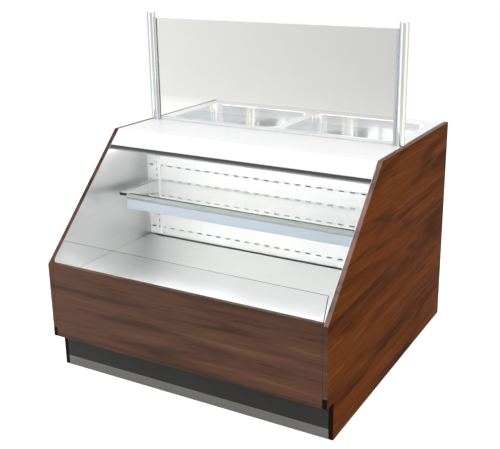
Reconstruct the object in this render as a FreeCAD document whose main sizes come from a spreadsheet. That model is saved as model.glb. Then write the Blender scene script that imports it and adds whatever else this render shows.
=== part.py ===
import FreeCAD, Part
import math
import os
import re
import Sketcher

# Open-front refrigerated counter case with two cold wells and a guard glass.
# Millimetres, +Z up, +X to the customer's right, front towards -Y.
# The origin is on the floor, at the middle of the case.
# Depths in the table and in the functions below are measured back from the front edge of the side panels.

Vector = FreeCAD.Vector

DIMENSIONS = {
    # Case
    "case_width": 1213,
    "case_depth": 1232,
    "worktop_height": 914,
    "worktop_thickness": 25,
    "worktop_rear_gap": 4,
    "panel_thickness": 18,
    "kick_recess": 53,
    "kick_height": 149,
    "sill_height": 456,
    "slope_depth": 450,
    "fit_gap": 0.5,
    "slip_gap": 0.3,
    "sheet": 1.5,
    # Front
    "fascia_thickness": 18,
    "fascia_top": 462,
    "kick_plate_thickness": 12,
    "kick_strip_height": 40,
    "kick_strip_wall": 2,
    # Base frame and feet
    "foot_height": 60,
    "foot_pad_radius": 22,
    "foot_pad_height": 14,
    "foot_stem_radius": 7,
    "rail_size": 40,
    "rail_wall": 4,
    # Insulated tub
    "tub_base": 170,
    "tub_wall": 40,
    "tub_floor": 45,
    "tub_side": 25,
    "tub_front_top": 424,
    "back_wall_depth": 630,
    "duct_depth": 85,
    # Deck and return air grille
    "deck_height": 392,
    "deck_fold": 7,
    "deck_front": 150,
    "deck_gap": 1,
    "deck_rail_width": 20,
    "deck_rail_height": 13,
    "grille_slot_length": 60,
    "grille_slot_width": 12,
    "grille_slot_pitch": 24,
    "grille_end_margin": 30,
    # Clear front lip
    "lip_thickness": 6,
    "lip_length": 111,
    "lip_tilt": 66.4,
    "lip_foot_depth": 33,
    "lip_foot_drop": 26,
    "lip_left_gap": 1,
    "lip_right_gap": 15,
    "channel_width": 30,
    "channel_drop": 12,
    # Side liners
    "liner_slope_inset": 2,
    # Back panel
    "back_panel_bottom": 394,
    "back_panel_top": 836,
    "slot_length": 24,
    "slot_height": 6,
    "slot_pitch": 48.8,
    "slot_end_margin": 8,
    "slot_first_row": 431,
    "slot_row_pitch": 72.5,
    "slot_rows": 6,
    # Shelf
    "standard_from_liner": 60,
    "standard_width": 32,
    "standard_depth": 12,
    "standard_gap": 8,
    "hook_slot_width": 7,
    "hook_slot_height": 14,
    "hook_pitch": 30,
    "hook_count": 13,
    "bracket_thickness": 6,
    "bracket_rear_height": 60,
    "bracket_nose_height": 16,
    "hook_height": 9,
    "hook_reach": 10,
    "shelf_top": 664,
    "shelf_front": 366,
    "shelf_end_gap": 53,
    "shelf_glass": 12,
    "shelf_rail_height": 54,
    "shelf_rail_depth": 22,
    "shelf_rail_left_gap": 37,
    "shelf_rail_right_gap": 1,
    "shelf_lens_height": 42,
    "shelf_lens_depth": 5,
    # Canopy
    "canopy_face_height": 79,
    "canopy_thickness": 12,
    "canopy_trim_height": 13,
    "canopy_trim_depth": 20,
    "ceiling_height": 838,
    "comb_depth": 34,
    "comb_front": 411,
    "comb_height": 14,
    "comb_drop": 4,
    "comb_slot_length": 26,
    "comb_slot_width": 11,
    "comb_slot_pitch": 16,
    "comb_end_margin": 25,
    "lamp_front": 462,
    "lamp_width": 32,
    "lamp_housing": 8,
    "lamp_lens": 11,
    "lamp_end_gap": 47,
    # Wells
    "well_side_margin": 47.5,
    "well_guard_gap": 70,
    "well_tub_gap": 15,
    "well_rear_margin": 92,
    "well_depth": 150,
    "well_corner": 45,
    "well_draft": 5,
    "well_half_divider": 22,
    "well_wall": 2,
    "well_flange_front": 14,
    "well_flange_rear": 28,
    "well_seat_gap": 3,
    "drain_bore": 13,
    "drain_wall": 3,
    "drain_flange_radius": 28,
    "drain_flange": 2,
    "drain_drop": 50,
    "jacket_thickness": 24,
    "jacket_gap": 1,
    "jacket_front_wall": 11.5,
    # Guard glass
    "post_from_side": 28.5,
    "post_radius": 18.5,
    "post_wall": 2,
    "post_foot": 6,
    "post_top": 1382,
    "cap_height": 5,
    "cap_dome": 2,
    "guard_depth": 700,
    "guard_top": 1357,
    "guard_bottom_gap": 2,
    "guard_glass": 8,
    "gasket_width": 12,
    "gasket_bite": 6,
    "gasket_reach": 10,
    "gasket_cover": 10.5,
    "stud_radius": 4,
    "stud_length": 48,
    "stud_clearance": 0.5,
    "nut_radius": 7.5,
    "nut_height": 6.5,
    "thread_clearance": 0.05,
    # Evaporator under the deck
    "evaporator_depth": 420,
    "evaporator_height": 224,
    "evaporator_end_gap": 157,
    "evaporator_width": 120,
    "evaporator_tall": 132,
    "evaporator_fins": 44,
    "fin_thickness": 1,
    "coil_tube_radius": 6,
    "evaporator_rows": 3,
    "evaporator_layers": 3,
    "coil_end_plate": 3,
    # Fans
    "fan_clearance": 0.06,
    "fan_blades": 5,
    "blade_pitch": 32,
    "blade_thickness": 1.6,
    "shaft_end_gap": 4,
    "fan_from_coil_end": 170,
    "evaporator_fan_radius": 64,
    "evaporator_hub_radius": 17,
    "evaporator_hub_length": 22,
    "evaporator_shaft_radius": 3,
    "evaporator_motor_radius": 28,
    "evaporator_motor_length": 42,
    "fan_plate_depth": 258,
    "fan_plate_hole": 70,
    "fan_bracket_width": 30,
    "fan_bracket_reach": 26,
    # Machine compartment
    "tray_thickness": 3,
    "compressor_from_side": 268.5,
    "compressor_from_tub": 205,
    "compressor_radius": 90,
    "compressor_height": 200,
    "compressor_shoulder": 26,
    "compressor_plate_x": 230,
    "compressor_plate_y": 150,
    "compressor_plate": 4,
    "mount_radius": 13,
    "mount_height": 18,
    "mount_inset": 20,
    "condenser_from_side": 358.5,
    "condenser_half_width": 170,
    "condenser_from_rear": 122,
    "condenser_thick": 55,
    "condenser_tall": 300,
    "condenser_stand": 12,
    "condenser_fins": 24,
    "condenser_rows": 2,
    "condenser_layers": 6,
    "shroud_reach": 33,
    "shroud_ring": 24,
    "condenser_fan_radius": 118,
    "condenser_ring_gap": 8,
    "condenser_hub_radius": 26,
    "condenser_hub_length": 34,
    "condenser_shaft_radius": 4,
    "condenser_motor_radius": 36,
    "condenser_motor_length": 58,
    "motor_bracket_width": 40,
    "motor_bracket_reach": 40,
    # Pipes
    "suction_radius": 8,
    "liquid_radius": 5,
    "pipe_bend": 26,
    "pipe_clearance": 2,
    "suction_from_side": 78.5,
    "suction_height": 330,
    "suction_from_tub": 75,
    "suction_port_height": 250,
    "liquid_from_side": 116.5,
    "liquid_low": 180,
    "liquid_height": 270,
    "liquid_from_tub": 45,
    "discharge_height": 390,
    "drain_x": 0,
    "drain_depth": 560,
    "drain_into_pan": 60,
    "drain_tail": 5,
    "drain_pipe_radius": 13,
    "pan_half_width": 110,
    "pan_from_tub": 25,
    "pan_length": 130,
    "pan_gap": 3,
    "pan_wall": 2,
    # Rear panels and controls
    "rear_panel_inset": 17,
    "rear_split_height": 500,
    "service_panel_bottom": 62,
    "louvre_length": 220,
    "louvre_height": 8,
    "louvre_pitch": 22,
    "louvre_rows": 13,
    "louvre_columns": 2,
    "louvre_first_height": 150,
    "screw_head_radius": 6,
    "screw_head": 3,
    "screw_shank_radius": 2.4,
    "screw_shank": 10,
    "screw_inset": 24,
    "control_from_side": 258.5,
    "control_height": 620,
    "control_width": 210,
    "control_tall": 84,
    "control_plate": 4,
    "switch_spacing": 52,
    "rocker_width": 15,
    "rocker_half_height": 12,
    "rocker_proud": 3,
    "rocker_dish": 2.5,
    "rocker_back": 3,
    "rocker_tilt": 9,
    "rocker_gap": 0.4,
    "rocker_swing_gap": 2.2,
    "pivot_setback": 8,
    "pivot_radius": 2,
    "pivot_length": 2,
    "switch_wall": 4,
    "switch_case_depth": 24,
    "knob_radius": 17,
    "knob_height": 9,
    "knob_taper": 3,
    "knob_pointer_width": 4,
    "knob_stem_radius": 3,
    "knob_stem": 14,
    "knob_gap": 0.4,
    "knob_boss_radius": 9,
    "knob_boss": 16,
    "gland_from_side": 108.5,
    "gland_height": 110,
    "gland_radius": 15,
    "gland_nut_radius": 13,
    "gland_flange": 4,
    "gland_length": 12,
    "gland_bore": 6,
    "gland_thread_radius": 9,
    "gland_tail": 14,
}

doc = FreeCAD.newDocument("refrigerated_counter")
sheet = doc.addObject("Spreadsheet::Sheet", "Dim")
for row, (alias, size) in enumerate(DIMENSIONS.items(), start=1):
    sheet.set(f"A{row}", alias)
    sheet.set(f"B{row}", str(size))
    sheet.setAlias(f"B{row}", alias)
doc.recompute()

# Sizes that follow from the table, as formulas on its names

FRONT = "(-case_depth / 2)"
INNER = "(case_width / 2 - panel_thickness)"
LINED = f"({INNER} - sheet - fit_gap)"
SLOPE = "atan((worktop_height - sill_height) / slope_depth)"
SLOPE_LENGTH = "sqrt((worktop_height - sill_height)^2 + slope_depth^2)"
WORKTOP_UNDER = "(worktop_height - worktop_thickness)"
FRAME_TOP = "(foot_height + rail_size)"
FRAME_FRONT = "(kick_recess + kick_plate_thickness)"
TUB_FRONT = "(fascia_thickness + fit_gap)"
TUB_REAR_FACE = "(back_wall_depth + duct_depth)"
TUB_REAR = f"({TUB_REAR_FACE} + tub_wall)"
TUB_FLOOR_TOP = "(tub_base + tub_floor)"
TUB_INSIDE = f"({LINED} - tub_side)"
LEDGE = "(deck_height - deck_fold)"
STANDARD_X = f"({INNER} - sheet - standard_from_liner)"
STANDARD_FRONT = "(back_wall_depth - standard_depth)"
SHELF_UNDER = "(shelf_top - shelf_glass)"
SHELF_HALF = f"({INNER} - sheet - shelf_end_gap)"
WELL_WIDTH = f"({INNER} - well_side_margin - well_half_divider)"
WELL_FRONT = f"max(guard_depth + well_guard_gap; {TUB_REAR} + well_tub_gap)"
WELL_LENGTH = f"(case_depth - well_rear_margin - {WELL_FRONT})"
WELL_TOP = "(worktop_height + sheet)"
WELL_UNDER = f"({WELL_TOP} - well_depth - well_wall)"
POST_X = "(case_width / 2 - post_from_side)"
TRAY_TOP = f"({FRAME_TOP} + tray_thickness)"
REAR_FACE = "(case_depth - rear_panel_inset)"
REAR_INSIDE = f"({REAR_FACE} - sheet)"
FRAME_REAR = REAR_INSIDE
CONTROL_FACE = f"({REAR_FACE} + control_plate)"
FAN_HEIGHT = f"(({TUB_FLOOR_TOP} + {LEDGE} - deck_rail_height) / 2)"
EVAPORATOR_HALF = f"({INNER} - sheet - evaporator_end_gap)"
EVAPORATOR_FAN_X = f"({EVAPORATOR_HALF} - fan_from_coil_end)"
COMPRESSOR_X = f"(compressor_from_side - {INNER})"
COMPRESSOR_DEPTH = f"({TUB_REAR} + compressor_from_tub)"
CONDENSER_X = f"({INNER} - condenser_from_side)"
CONDENSER_FRONT = "(case_depth - condenser_from_rear)"
CONDENSER_BASE = f"({TRAY_TOP} + condenser_stand)"
CONDENSER_MIDDLE = f"({CONDENSER_BASE} + condenser_tall / 2)"
SHROUD_PLATE = f"({CONDENSER_FRONT} - shroud_reach)"
SUCTION_X = f"({INNER} - suction_from_side)"
SUCTION_CROSS = f"({TUB_REAR} + suction_from_tub)"
LIQUID_X = f"({INNER} - liquid_from_side)"
LIQUID_RISE = f"({TUB_REAR} + liquid_from_tub)"
DRAIN_RUN = "(tub_base - fit_gap - pipe_bend)"
PAN_FRONT = f"({TUB_REAR} + pan_from_tub)"
DRAIN_END = f"({PAN_FRONT} + drain_into_pan)"
CONTROL_X = f"(control_from_side - {INNER})"
GLAND_X = f"(gland_from_side - {INNER})"


def formula(text):
    """Put the sheet's name before each of its words."""
    def named(word):
        return f"Dim.{word[0]}" if word[0] in DIMENSIONS else word[0]

    return re.sub(r"[a-z][a-z_0-9]*", named, text)


def value(text):
    """The number that a formula gives."""
    return float(sheet.evalExpression(formula(text)))


def bind(piece, name, text):
    piece.setExpression(name, formula(text))


def place(piece, x, depth, z, turn=None):
    """Put a piece at X, at a depth behind the front edge and at a height."""
    piece.Placement = FreeCAD.Placement(Vector(), turn or FreeCAD.Rotation())
    bind(piece, "Placement.Base.x", x)
    bind(piece, "Placement.Base.y", f"{FRONT} + ({depth})")
    bind(piece, "Placement.Base.z", z)


def across(half):
    """A span of the given half length, centred on the case."""
    return f"-({half})", half


def about(middle, width):
    """A span of the given width about a middle."""
    return f"({middle}) - ({width}) / 2", f"({middle}) + ({width}) / 2"


def mirrored(span, side):
    """The same span on the right (side 1) or on the left (side -1) of the case."""
    return span if side > 0 else (f"-({span[1]})", f"-({span[0]})")


def block(label, x, depth, z):
    piece = doc.addObject("Part::Box", label)
    for name, (low, high) in zip(("Length", "Width", "Height"), (x, depth, z)):
        bind(piece, name, f"({high}) - ({low})")
    place(piece, x[0], depth[0], z[0])
    return piece


TURNS = {
    "x": FreeCAD.Rotation(Vector(0, 1, 0), 90),
    "y": FreeCAD.Rotation(Vector(1, 0, 0), -90),
    "z": FreeCAD.Rotation(),
}


def rod(label, radius, axis, span, centre):
    """A round bar along an axis; centre holds the two other coordinates, in X, depth, Z order."""
    piece = doc.addObject("Part::Cylinder", label)
    bind(piece, "Radius", radius)
    bind(piece, "Height", f"({span[1]}) - ({span[0]})")
    corner = list(centre)
    corner.insert("xyz".index(axis), span[0])
    place(piece, *corner, turn=TURNS[axis])
    return piece


def tilted_block(label, x, along, out, origin, angle):
    """A block in a plane that leans back: along runs up the plane, out stands off it."""
    depth, height = origin
    piece = doc.addObject("Part::Box", label)
    for name, (low, high) in zip(("Length", "Width", "Height"), (x, along, out)):
        bind(piece, name, f"({high}) - ({low})")
    u, w = along[0], out[0]
    lean = FreeCAD.Rotation(Vector(1, 0, 0), value(angle))
    place(
        piece,
        x[0],
        f"{depth} + ({u}) * cos({angle}) - ({w}) * sin({angle})",
        f"{height} + ({u}) * sin({angle}) + ({w}) * cos({angle})",
        turn=lean,
    )
    bind(piece, "Placement.Rotation.Angle", angle)
    return piece


def slope_block(label, x, along, out):
    """A block in the plane of the side panels' sloped edges."""
    return tilted_block(label, x, along, out, ("0", "sill_height"), SLOPE)


def cut(label, base, *tools):
    piece = doc.addObject("Part::Cut", label)
    piece.Base = base
    piece.Tool = tools[0] if len(tools) == 1 else group(label + "_tools", *tools)
    return piece


def fuse(label, *pieces):
    piece = doc.addObject("Part::MultiFuse", label)
    piece.Shapes = list(pieces)
    piece.Refine = True
    return piece


def group(label, *pieces):
    piece = doc.addObject("Part::Compound", label)
    piece.Links = list(pieces)
    return piece


# Sketched bodies

def body_at(label, x, depth, z):
    body = doc.addObject("PartDesign::Body", label)
    place(body, x, depth, z)
    return body


def sketch_on(body, plane, name):
    support = next(item for item in body.Origin.OriginFeatures if item.Role == plane)
    sketch = body.newObject("Sketcher::SketchObject", f"{body.Label}_{name}")
    sketch.AttachmentSupport = (support, [""])
    sketch.MapMode = "FlatFace"
    return sketch


def fix_point(sketch, edge, end, x, y):
    """Tie a point of the sketch to its two formulas."""
    for axis, kind, text in ((-2, "DistanceX", x), (-1, "DistanceY", y)):
        size = value(text)
        if abs(size) < 1e-9:
            sketch.addConstraint(Sketcher.Constraint("PointOnObject", edge, end, axis))
            continue
        index = sketch.addConstraint(Sketcher.Constraint(kind, -1, 1, edge, end, size))
        bind(sketch, f"Constraints[{index}]", text)


def polygon(sketch, outline):
    corners = [Vector(value(x), value(y), 0) for x, y in outline]
    edges = [
        sketch.addGeometry(Part.LineSegment(corner, corners[(index + 1) % len(corners)]), False)
        for index, corner in enumerate(corners)
    ]
    for index, edge in enumerate(edges):
        sketch.addConstraint(Sketcher.Constraint("Coincident", edge, 2, edges[(index + 1) % len(edges)], 1))
        fix_point(sketch, edge, 1, *outline[index])


def rectangle(sketch, x, y):
    polygon(sketch, [(x[0], y[0]), (x[1], y[0]), (x[1], y[1]), (x[0], y[1])])


def rounded_rectangle(sketch, x, y, radius):
    x0, x1 = map(value, x)
    y0, y1 = map(value, y)
    r = value(radius)
    left, right = x0 + r, x1 - r
    low, high = y0 + r, y1 - r
    starts = [Vector(left, y0), Vector(x1, low), Vector(right, y1), Vector(x0, high)]
    ends = [Vector(right, y0), Vector(x1, high), Vector(left, y1), Vector(x0, low)]
    centres = [Vector(right, low), Vector(right, high), Vector(left, high), Vector(left, low)]
    lines = []
    arcs = []
    for index in range(4):
        lines.append(sketch.addGeometry(Part.LineSegment(starts[index], ends[index]), False))
        corner = Part.Circle(centres[index], Vector(0, 0, 1), r)
        first = (index - 1) * math.pi / 2
        arcs.append(sketch.addGeometry(Part.ArcOfCircle(corner, first, first + math.pi / 2), False))
    for index in range(4):
        after = lines[(index + 1) % 4]
        sketch.addConstraint(Sketcher.Constraint("Tangent", lines[index], 2, arcs[index], 1))
        sketch.addConstraint(Sketcher.Constraint("Tangent", arcs[index], 2, after, 1))
        sketch.addConstraint(Sketcher.Constraint("Vertical" if index % 2 else "Horizontal", lines[index]))
    for arc in arcs[1:]:
        sketch.addConstraint(Sketcher.Constraint("Equal", arcs[0], arc))
    index = sketch.addConstraint(Sketcher.Constraint("Radius", arcs[0], r))
    bind(sketch, f"Constraints[{index}]", radius)
    sides = (
        ("DistanceY", lines[0], y[0]),
        ("DistanceX", lines[1], x[1]),
        ("DistanceY", lines[2], y[1]),
        ("DistanceX", lines[3], x[0]),
    )
    for kind, line, text in sides:
        index = sketch.addConstraint(Sketcher.Constraint(kind, -1, 1, line, 1, value(text)))
        bind(sketch, f"Constraints[{index}]", text)


def circle(sketch, x, y, radius):
    centre = Vector(value(x), value(y), 0)
    disc = sketch.addGeometry(Part.Circle(centre, Vector(0, 0, 1), value(radius)), False)
    fix_point(sketch, disc, 3, x, y)
    index = sketch.addConstraint(Sketcher.Constraint("Radius", disc, value(radius)))
    bind(sketch, f"Constraints[{index}]", radius)


def pad(body, sketch, length, backwards=False, taper="0"):
    feature = body.newObject("PartDesign::Pad", sketch.Label + "_pad")
    feature.Profile = sketch
    feature.Reversed = backwards
    bind(feature, "Length", length)
    bind(feature, "TaperAngle", taper)
    doc.recompute()
    return feature


def pocket(body, sketch, length, backwards=False, taper="0"):
    before = body.Shape.Volume
    feature = body.newObject("PartDesign::Pocket", sketch.Label + "_pocket")
    feature.Profile = sketch
    feature.Reversed = backwards
    bind(feature, "Length", length)
    bind(feature, "TaperAngle", taper)
    doc.recompute()
    if body.Shape.Volume > before - 1e-6:
        raise RuntimeError(f"{sketch.Label} cuts nothing")
    return feature


def repeat(body, feature, axis, pitch, count):
    """Repeat a feature along an axis of its own sketch."""
    pattern = body.newObject("PartDesign::LinearPattern", feature.Label + "_row")
    pattern.Originals = [feature]
    pattern.Direction = (feature.Profile[0], [axis])
    bind(pattern, "Length", f"({pitch}) * ({count} - 1)")
    bind(pattern, "Occurrences", count)
    body.Tip = pattern
    doc.recompute()
    return pattern


def extrusion(label, x, outline):
    """A section in depth and height, carried along X."""
    body = body_at(label, x[0], "0", "0")
    sketch = sketch_on(body, "YZ_Plane", "section")
    polygon(sketch, outline)
    pad(body, sketch, f"({x[1]}) - ({x[0]})")
    return body


def upright_sheet(label, x, depth, z):
    """A standing sheet, with its face towards the front."""
    body = body_at(label, "0", depth[0], "0")
    sketch = sketch_on(body, "XZ_Plane", "outline")
    rectangle(sketch, x, z)
    pad(body, sketch, f"({depth[1]}) - ({depth[0]})", backwards=True)
    return body


def first_of_row(middle, pitch, count, width):
    """The first span of a row of spans centred on a middle."""
    start = f"({middle}) - ({pitch}) * ({count} - 1) / 2"
    return about(start, width)


def row_count(half, margin, width, pitch):
    """How many spans of a width fit a row that keeps a margin at both ends."""
    return f"(floor((2 * {half} - 2 * {margin} - {width}) / {pitch}) + 1)"


nodes = []


def node(piece):
    """Keep a finished sub-part."""
    nodes.append(piece)
    return piece


# Cabinet

def side_panel(label, side):
    outline = [
        ("kick_recess", "0"),
        ("case_depth", "0"),
        ("case_depth", "worktop_height"),
        ("slope_depth", "worktop_height"),
        ("0", "sill_height"),
        ("0", "kick_height"),
        ("kick_recess", "kick_height"),
    ]
    return node(extrusion(label, mirrored((INNER, "case_width / 2"), side), outline))


def front_boards():
    clear = across(f"{INNER} - fit_gap")
    node(block("front_fascia", clear, ("0", "fascia_thickness"), ("kick_height", "fascia_top")))
    behind = f"({FRAME_FRONT} - fit_gap)"
    plate_height = ("kick_strip_height", "kick_height - fit_gap")
    node(block("kick_plate", clear, ("kick_recess", behind), plate_height))
    strip = block("kick_strip_blank", clear, ("kick_recess", behind), ("0", "kick_strip_height"))
    hollow = block(
        "kick_strip_hollow",
        clear,
        ("kick_recess + kick_strip_wall", FRAME_FRONT),
        ("kick_strip_wall", "kick_strip_height - kick_strip_wall"),
    )
    node(cut("kick_strip", strip, hollow))


def channel_ring():
    """The frame's ring of rails, open towards the inside."""
    half = f"({INNER} - fit_gap)"
    height = ("foot_height", FRAME_TOP)
    ring = block("ring_blank", across(half), (FRAME_FRONT, FRAME_REAR), height)
    inside = block(
        "ring_inside",
        across(f"{half} - rail_size"),
        (f"{FRAME_FRONT} + rail_size", f"{FRAME_REAR} - rail_size"),
        height,
    )
    groove = block(
        "ring_groove",
        across(f"{half} - rail_wall"),
        (f"{FRAME_FRONT} + rail_wall", f"{FRAME_REAR} - rail_wall"),
        ("foot_height + rail_wall", f"{FRAME_TOP} - rail_wall"),
    )
    return cut("frame_ring", ring, inside, groove)


def angle_post(label, side, depth, top):
    """An upright angle in the corner next to a side panel; depth[0] is its flange."""
    half = f"({INNER} - fit_gap)"
    height = (FRAME_TOP, top)
    blank = block(label + "_blank", mirrored((f"{half} - rail_size", half), side), depth, height)
    hollow = block(
        label + "_hollow",
        mirrored((f"{half} - rail_size", f"{half} - rail_wall"), side),
        (depth[0], f"{depth[1]} - rail_wall"),
        height,
    )
    return cut(label, blank, hollow)


def base_frame():
    half = f"({INNER} - fit_gap)"
    cross = block(
        "cross_rail",
        across(f"{half} - rail_wall"),
        (f"{TUB_REAR} - rail_size", TUB_REAR),
        ("foot_height", FRAME_TOP),
    )
    cross_groove = block(
        "cross_rail_groove",
        across(half),
        (f"{TUB_REAR} - rail_size + rail_wall", TUB_REAR),
        ("foot_height + rail_wall", f"{FRAME_TOP} - rail_wall"),
    )
    pieces = [channel_ring(), cut("cross_channel", cross, cross_groove)]
    for name, side in (("left", -1), ("right", 1)):
        front = (FRAME_FRONT, f"{FRAME_FRONT} + rail_size")
        middle = (f"{TUB_REAR} - rail_size", TUB_REAR)
        rear = (f"{FRAME_REAR} - rail_size", FRAME_REAR)
        pieces.append(angle_post(f"front_stub_{name}", side, front, "tub_base"))
        pieces.append(angle_post(f"middle_stub_{name}", side, middle, "tub_base"))
        pieces.append(angle_post(f"rear_post_{name}", side, rear, WORKTOP_UNDER))
    wall = (f"{FRAME_REAR} - rail_wall", FRAME_REAR)
    holes = [rod(f"frame_screw_hole_{index}", "screw_shank_radius + thread_clearance", "y", wall, centre)
             for index, centre in enumerate(screw_places())]
    node(cut("base_frame", fuse("frame_welded", *pieces), *holes))


def levelling_feet():
    feet = []
    inset = "(foot_pad_radius + rail_wall)"
    for side in ("-1", "1"):
        x = f"{side} * ({INNER} - fit_gap - {inset})"
        for end, depth in (("front", f"{FRAME_FRONT} + {inset}"), ("rear", f"{FRAME_REAR} - {inset}")):
            centre = (x, depth)
            name = f"{end}_foot_{'left' if side == '-1' else 'right'}"
            rubber = rod(name + "_pad", "foot_pad_radius", "z", ("0", "foot_pad_height"), centre)
            stem = rod(name + "_stem", "foot_stem_radius", "z", ("0", "foot_height"), centre)
            feet.append(fuse(name, rubber, stem))
    node(group("levelling_feet", *feet))


# Cold display

def insulated_tub():
    outline = [
        (TUB_FRONT, "tub_base"),
        (TUB_REAR, "tub_base"),
        (TUB_REAR, WORKTOP_UNDER),
        (TUB_REAR_FACE, WORKTOP_UNDER),
        (TUB_REAR_FACE, LEDGE),
        (f"{TUB_FRONT} + tub_wall", LEDGE),
        (f"{TUB_FRONT} + tub_wall", "tub_front_top"),
        (TUB_FRONT, "tub_front_top"),
    ]
    shell = extrusion("tub_shell", across(LINED), outline)
    cavity = block(
        "tub_cavity",
        across(TUB_INSIDE),
        (f"{TUB_FRONT} + tub_wall", TUB_REAR_FACE),
        (TUB_FLOOR_TOP, LEDGE),
    )
    wall = (TUB_REAR_FACE, TUB_REAR)
    suction_place = (SUCTION_X, "suction_height")
    suction = rod("suction_hole", "suction_radius + pipe_clearance", "y", wall, suction_place)
    liquid_place = (LIQUID_X, "liquid_height")
    liquid = rod("liquid_hole", "liquid_radius + pipe_clearance", "y", wall, liquid_place)
    floor = ("tub_base", TUB_FLOOR_TOP)
    drain = rod("drain_hole", "drain_pipe_radius + fit_gap", "z", floor, ("drain_x", "drain_depth"))
    node(cut("insulated_tub", shell, cavity, suction, liquid, drain))


def deck_support_rails():
    rails = []
    places = {
        "front": f"{TUB_FRONT} + tub_wall",
        "middle": "deck_front - (deck_gap + deck_rail_width) / 2",
        "rear": f"{STANDARD_FRONT} - deck_gap - deck_rail_width",
    }
    for name, depth in places.items():
        rails.append(
            block(
                f"deck_rail_{name}",
                across(f"{TUB_INSIDE}"),
                (depth, f"{depth} + deck_rail_width"),
                (f"{LEDGE} - deck_rail_height", LEDGE),
            )
        )
    node(group("deck_support_rails", *rails))


def folded_tray(label, x, depth):
    """A deck sheet with its four edges folded down."""
    blank = block(label + "_blank", x, depth, (LEDGE, "deck_height"))
    hollow = block(
        label + "_hollow",
        (f"{x[0]} + sheet", f"{x[1]} - sheet"),
        (f"{depth[0]} + sheet", f"{depth[1]} - sheet"),
        (LEDGE, "deck_height - sheet"),
    )
    return blank, hollow


def deck():
    half = f"({LINED} - deck_gap)"
    clear = across(half)
    blank, hollow = folded_tray("deck_pan", clear, ("deck_front", f"{STANDARD_FRONT} - deck_gap"))
    node(cut("deck_pan", blank, hollow))
    front = f"({TUB_FRONT} + tub_wall + deck_gap)"
    rear = "(deck_front - deck_gap)"
    body = body_at("return_air_grille", "0", "0", "deck_height")
    outline = sketch_on(body, "XY_Plane", "outline")
    rectangle(outline, clear, (front, rear))
    pad(body, outline, "deck_fold", backwards=True)
    under = sketch_on(body, "XY_Plane", "under")
    under.AttachmentOffset = FreeCAD.Placement(Vector(0, 0, -value("deck_fold")), FreeCAD.Rotation())
    bind(under, "AttachmentOffset.Base.z", "-deck_fold")
    inset = (f"{clear[0]} + sheet", f"{clear[1]} - sheet")
    rectangle(under, inset, (f"{front} + sheet", f"{rear} - sheet"))
    pocket(body, under, "deck_fold - sheet", backwards=True)
    slot = sketch_on(body, "XY_Plane", "slot")
    middle = f"({front} + {rear}) / 2"
    count = row_count(half, "grille_end_margin", "grille_slot_width", "grille_slot_pitch")
    first = first_of_row("0", "grille_slot_pitch", count, "grille_slot_width")
    rectangle(slot, first, about(middle, "grille_slot_length"))
    repeat(body, pocket(body, slot, "deck_fold"), "H_Axis", "grille_slot_pitch", count)
    node(body)


def front_lip():
    """The clear lip and the channel that holds its lower edge."""
    origin = ("lip_foot_depth", "(sill_height - lip_foot_drop)")
    ends = (f"lip_left_gap - {LINED}", f"{LINED} - lip_right_gap")
    thick = about("0", "lip_thickness")
    node(tilted_block("front_lip", ends, ("0", "lip_length"), thick, origin, "lip_tilt"))
    blank = block(
        "lip_channel_blank",
        across(LINED),
        (TUB_FRONT, f"{TUB_FRONT} + channel_width"),
        ("tub_front_top", "sill_height - channel_drop"),
    )
    loose = about("0", "lip_thickness + 2 * slip_gap")
    length = ("-slip_gap", "lip_length")
    slot = tilted_block("lip_slot", across(LINED), length, loose, origin, "lip_tilt")
    node(cut("lip_channel", blank, slot))


def side_liner(label, side):
    rise = "(worktop_height - sill_height) / slope_depth"
    inset = "liner_slope_inset"
    low_edge = f"sill_height + {TUB_FRONT} * {rise} - {inset}"
    top_edge = f"({WORKTOP_UNDER} - sill_height + {inset}) / ({rise})"
    outline = [
        (TUB_FRONT, LEDGE),
        (TUB_REAR_FACE, LEDGE),
        (TUB_REAR_FACE, WORKTOP_UNDER),
        (top_edge, WORKTOP_UNDER),
        (TUB_FRONT, low_edge),
    ]
    node(extrusion(label, mirrored((f"{INNER} - sheet", INNER), side), outline))


def back_panel():
    """White air-duct panel with rows of slots and an end flange at each side."""
    half = f"({LINED} - fit_gap)"
    height = ("back_panel_bottom", "back_panel_top")
    body = upright_sheet("back_panel", across(half), ("back_wall_depth", "back_wall_depth + sheet"), height)
    for side, name in ((-1, "left"), (1, "right")):
        flange = sketch_on(body, "XZ_Plane", f"{name}_flange")
        rectangle(flange, mirrored((f"{half} - sheet", half), side), height)
        pad(body, flange, "duct_depth - fit_gap", backwards=True)
    slots = sketch_on(body, "XZ_Plane", "slots")
    count = row_count(half, "slot_end_margin", "slot_length", "slot_pitch")
    columns = first_of_row("0", "slot_pitch", count, "slot_length")
    for row in range(int(value("slot_rows"))):
        rectangle(slots, columns, about(f"slot_first_row + {row} * slot_row_pitch", "slot_height"))
    repeat(body, pocket(body, slots, "2 * sheet"), "H_Axis", "slot_pitch", count)
    node(body)


def shelf_standard(label, side):
    """Slotted upright that the shelf bracket hooks into."""
    x = about(f"{side} * {STANDARD_X}", "standard_width")
    height = ("back_panel_bottom + standard_gap", "back_panel_top - standard_gap")
    body = upright_sheet(label, x, (STANDARD_FRONT, "back_wall_depth"), height)
    slot = sketch_on(body, "XZ_Plane", "slot")
    middle = f"({height[0]} + {height[1]}) / 2"
    first = first_of_row(middle, "hook_pitch", "hook_count", "hook_slot_height")
    rectangle(slot, about(f"{side} * {STANDARD_X}", "hook_slot_width"), first)
    repeat(body, pocket(body, slot, "2 * standard_depth"), "V_Axis", "hook_pitch", "hook_count")
    return body


def hook_middle():
    """The height of the middle of the slot just under the shelf."""
    middle = value("(back_panel_bottom + back_panel_top) / 2")
    pitch = value("hook_pitch")
    first = middle - pitch * (value("hook_count") - 1) / 2
    steps = math.floor((value(f"{SHELF_UNDER} - hook_height") - first) / pitch)
    return (
        "(back_panel_bottom + back_panel_top) / 2"
        f" + hook_pitch * ({steps} - (hook_count - 1) / 2)"
    )


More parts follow.
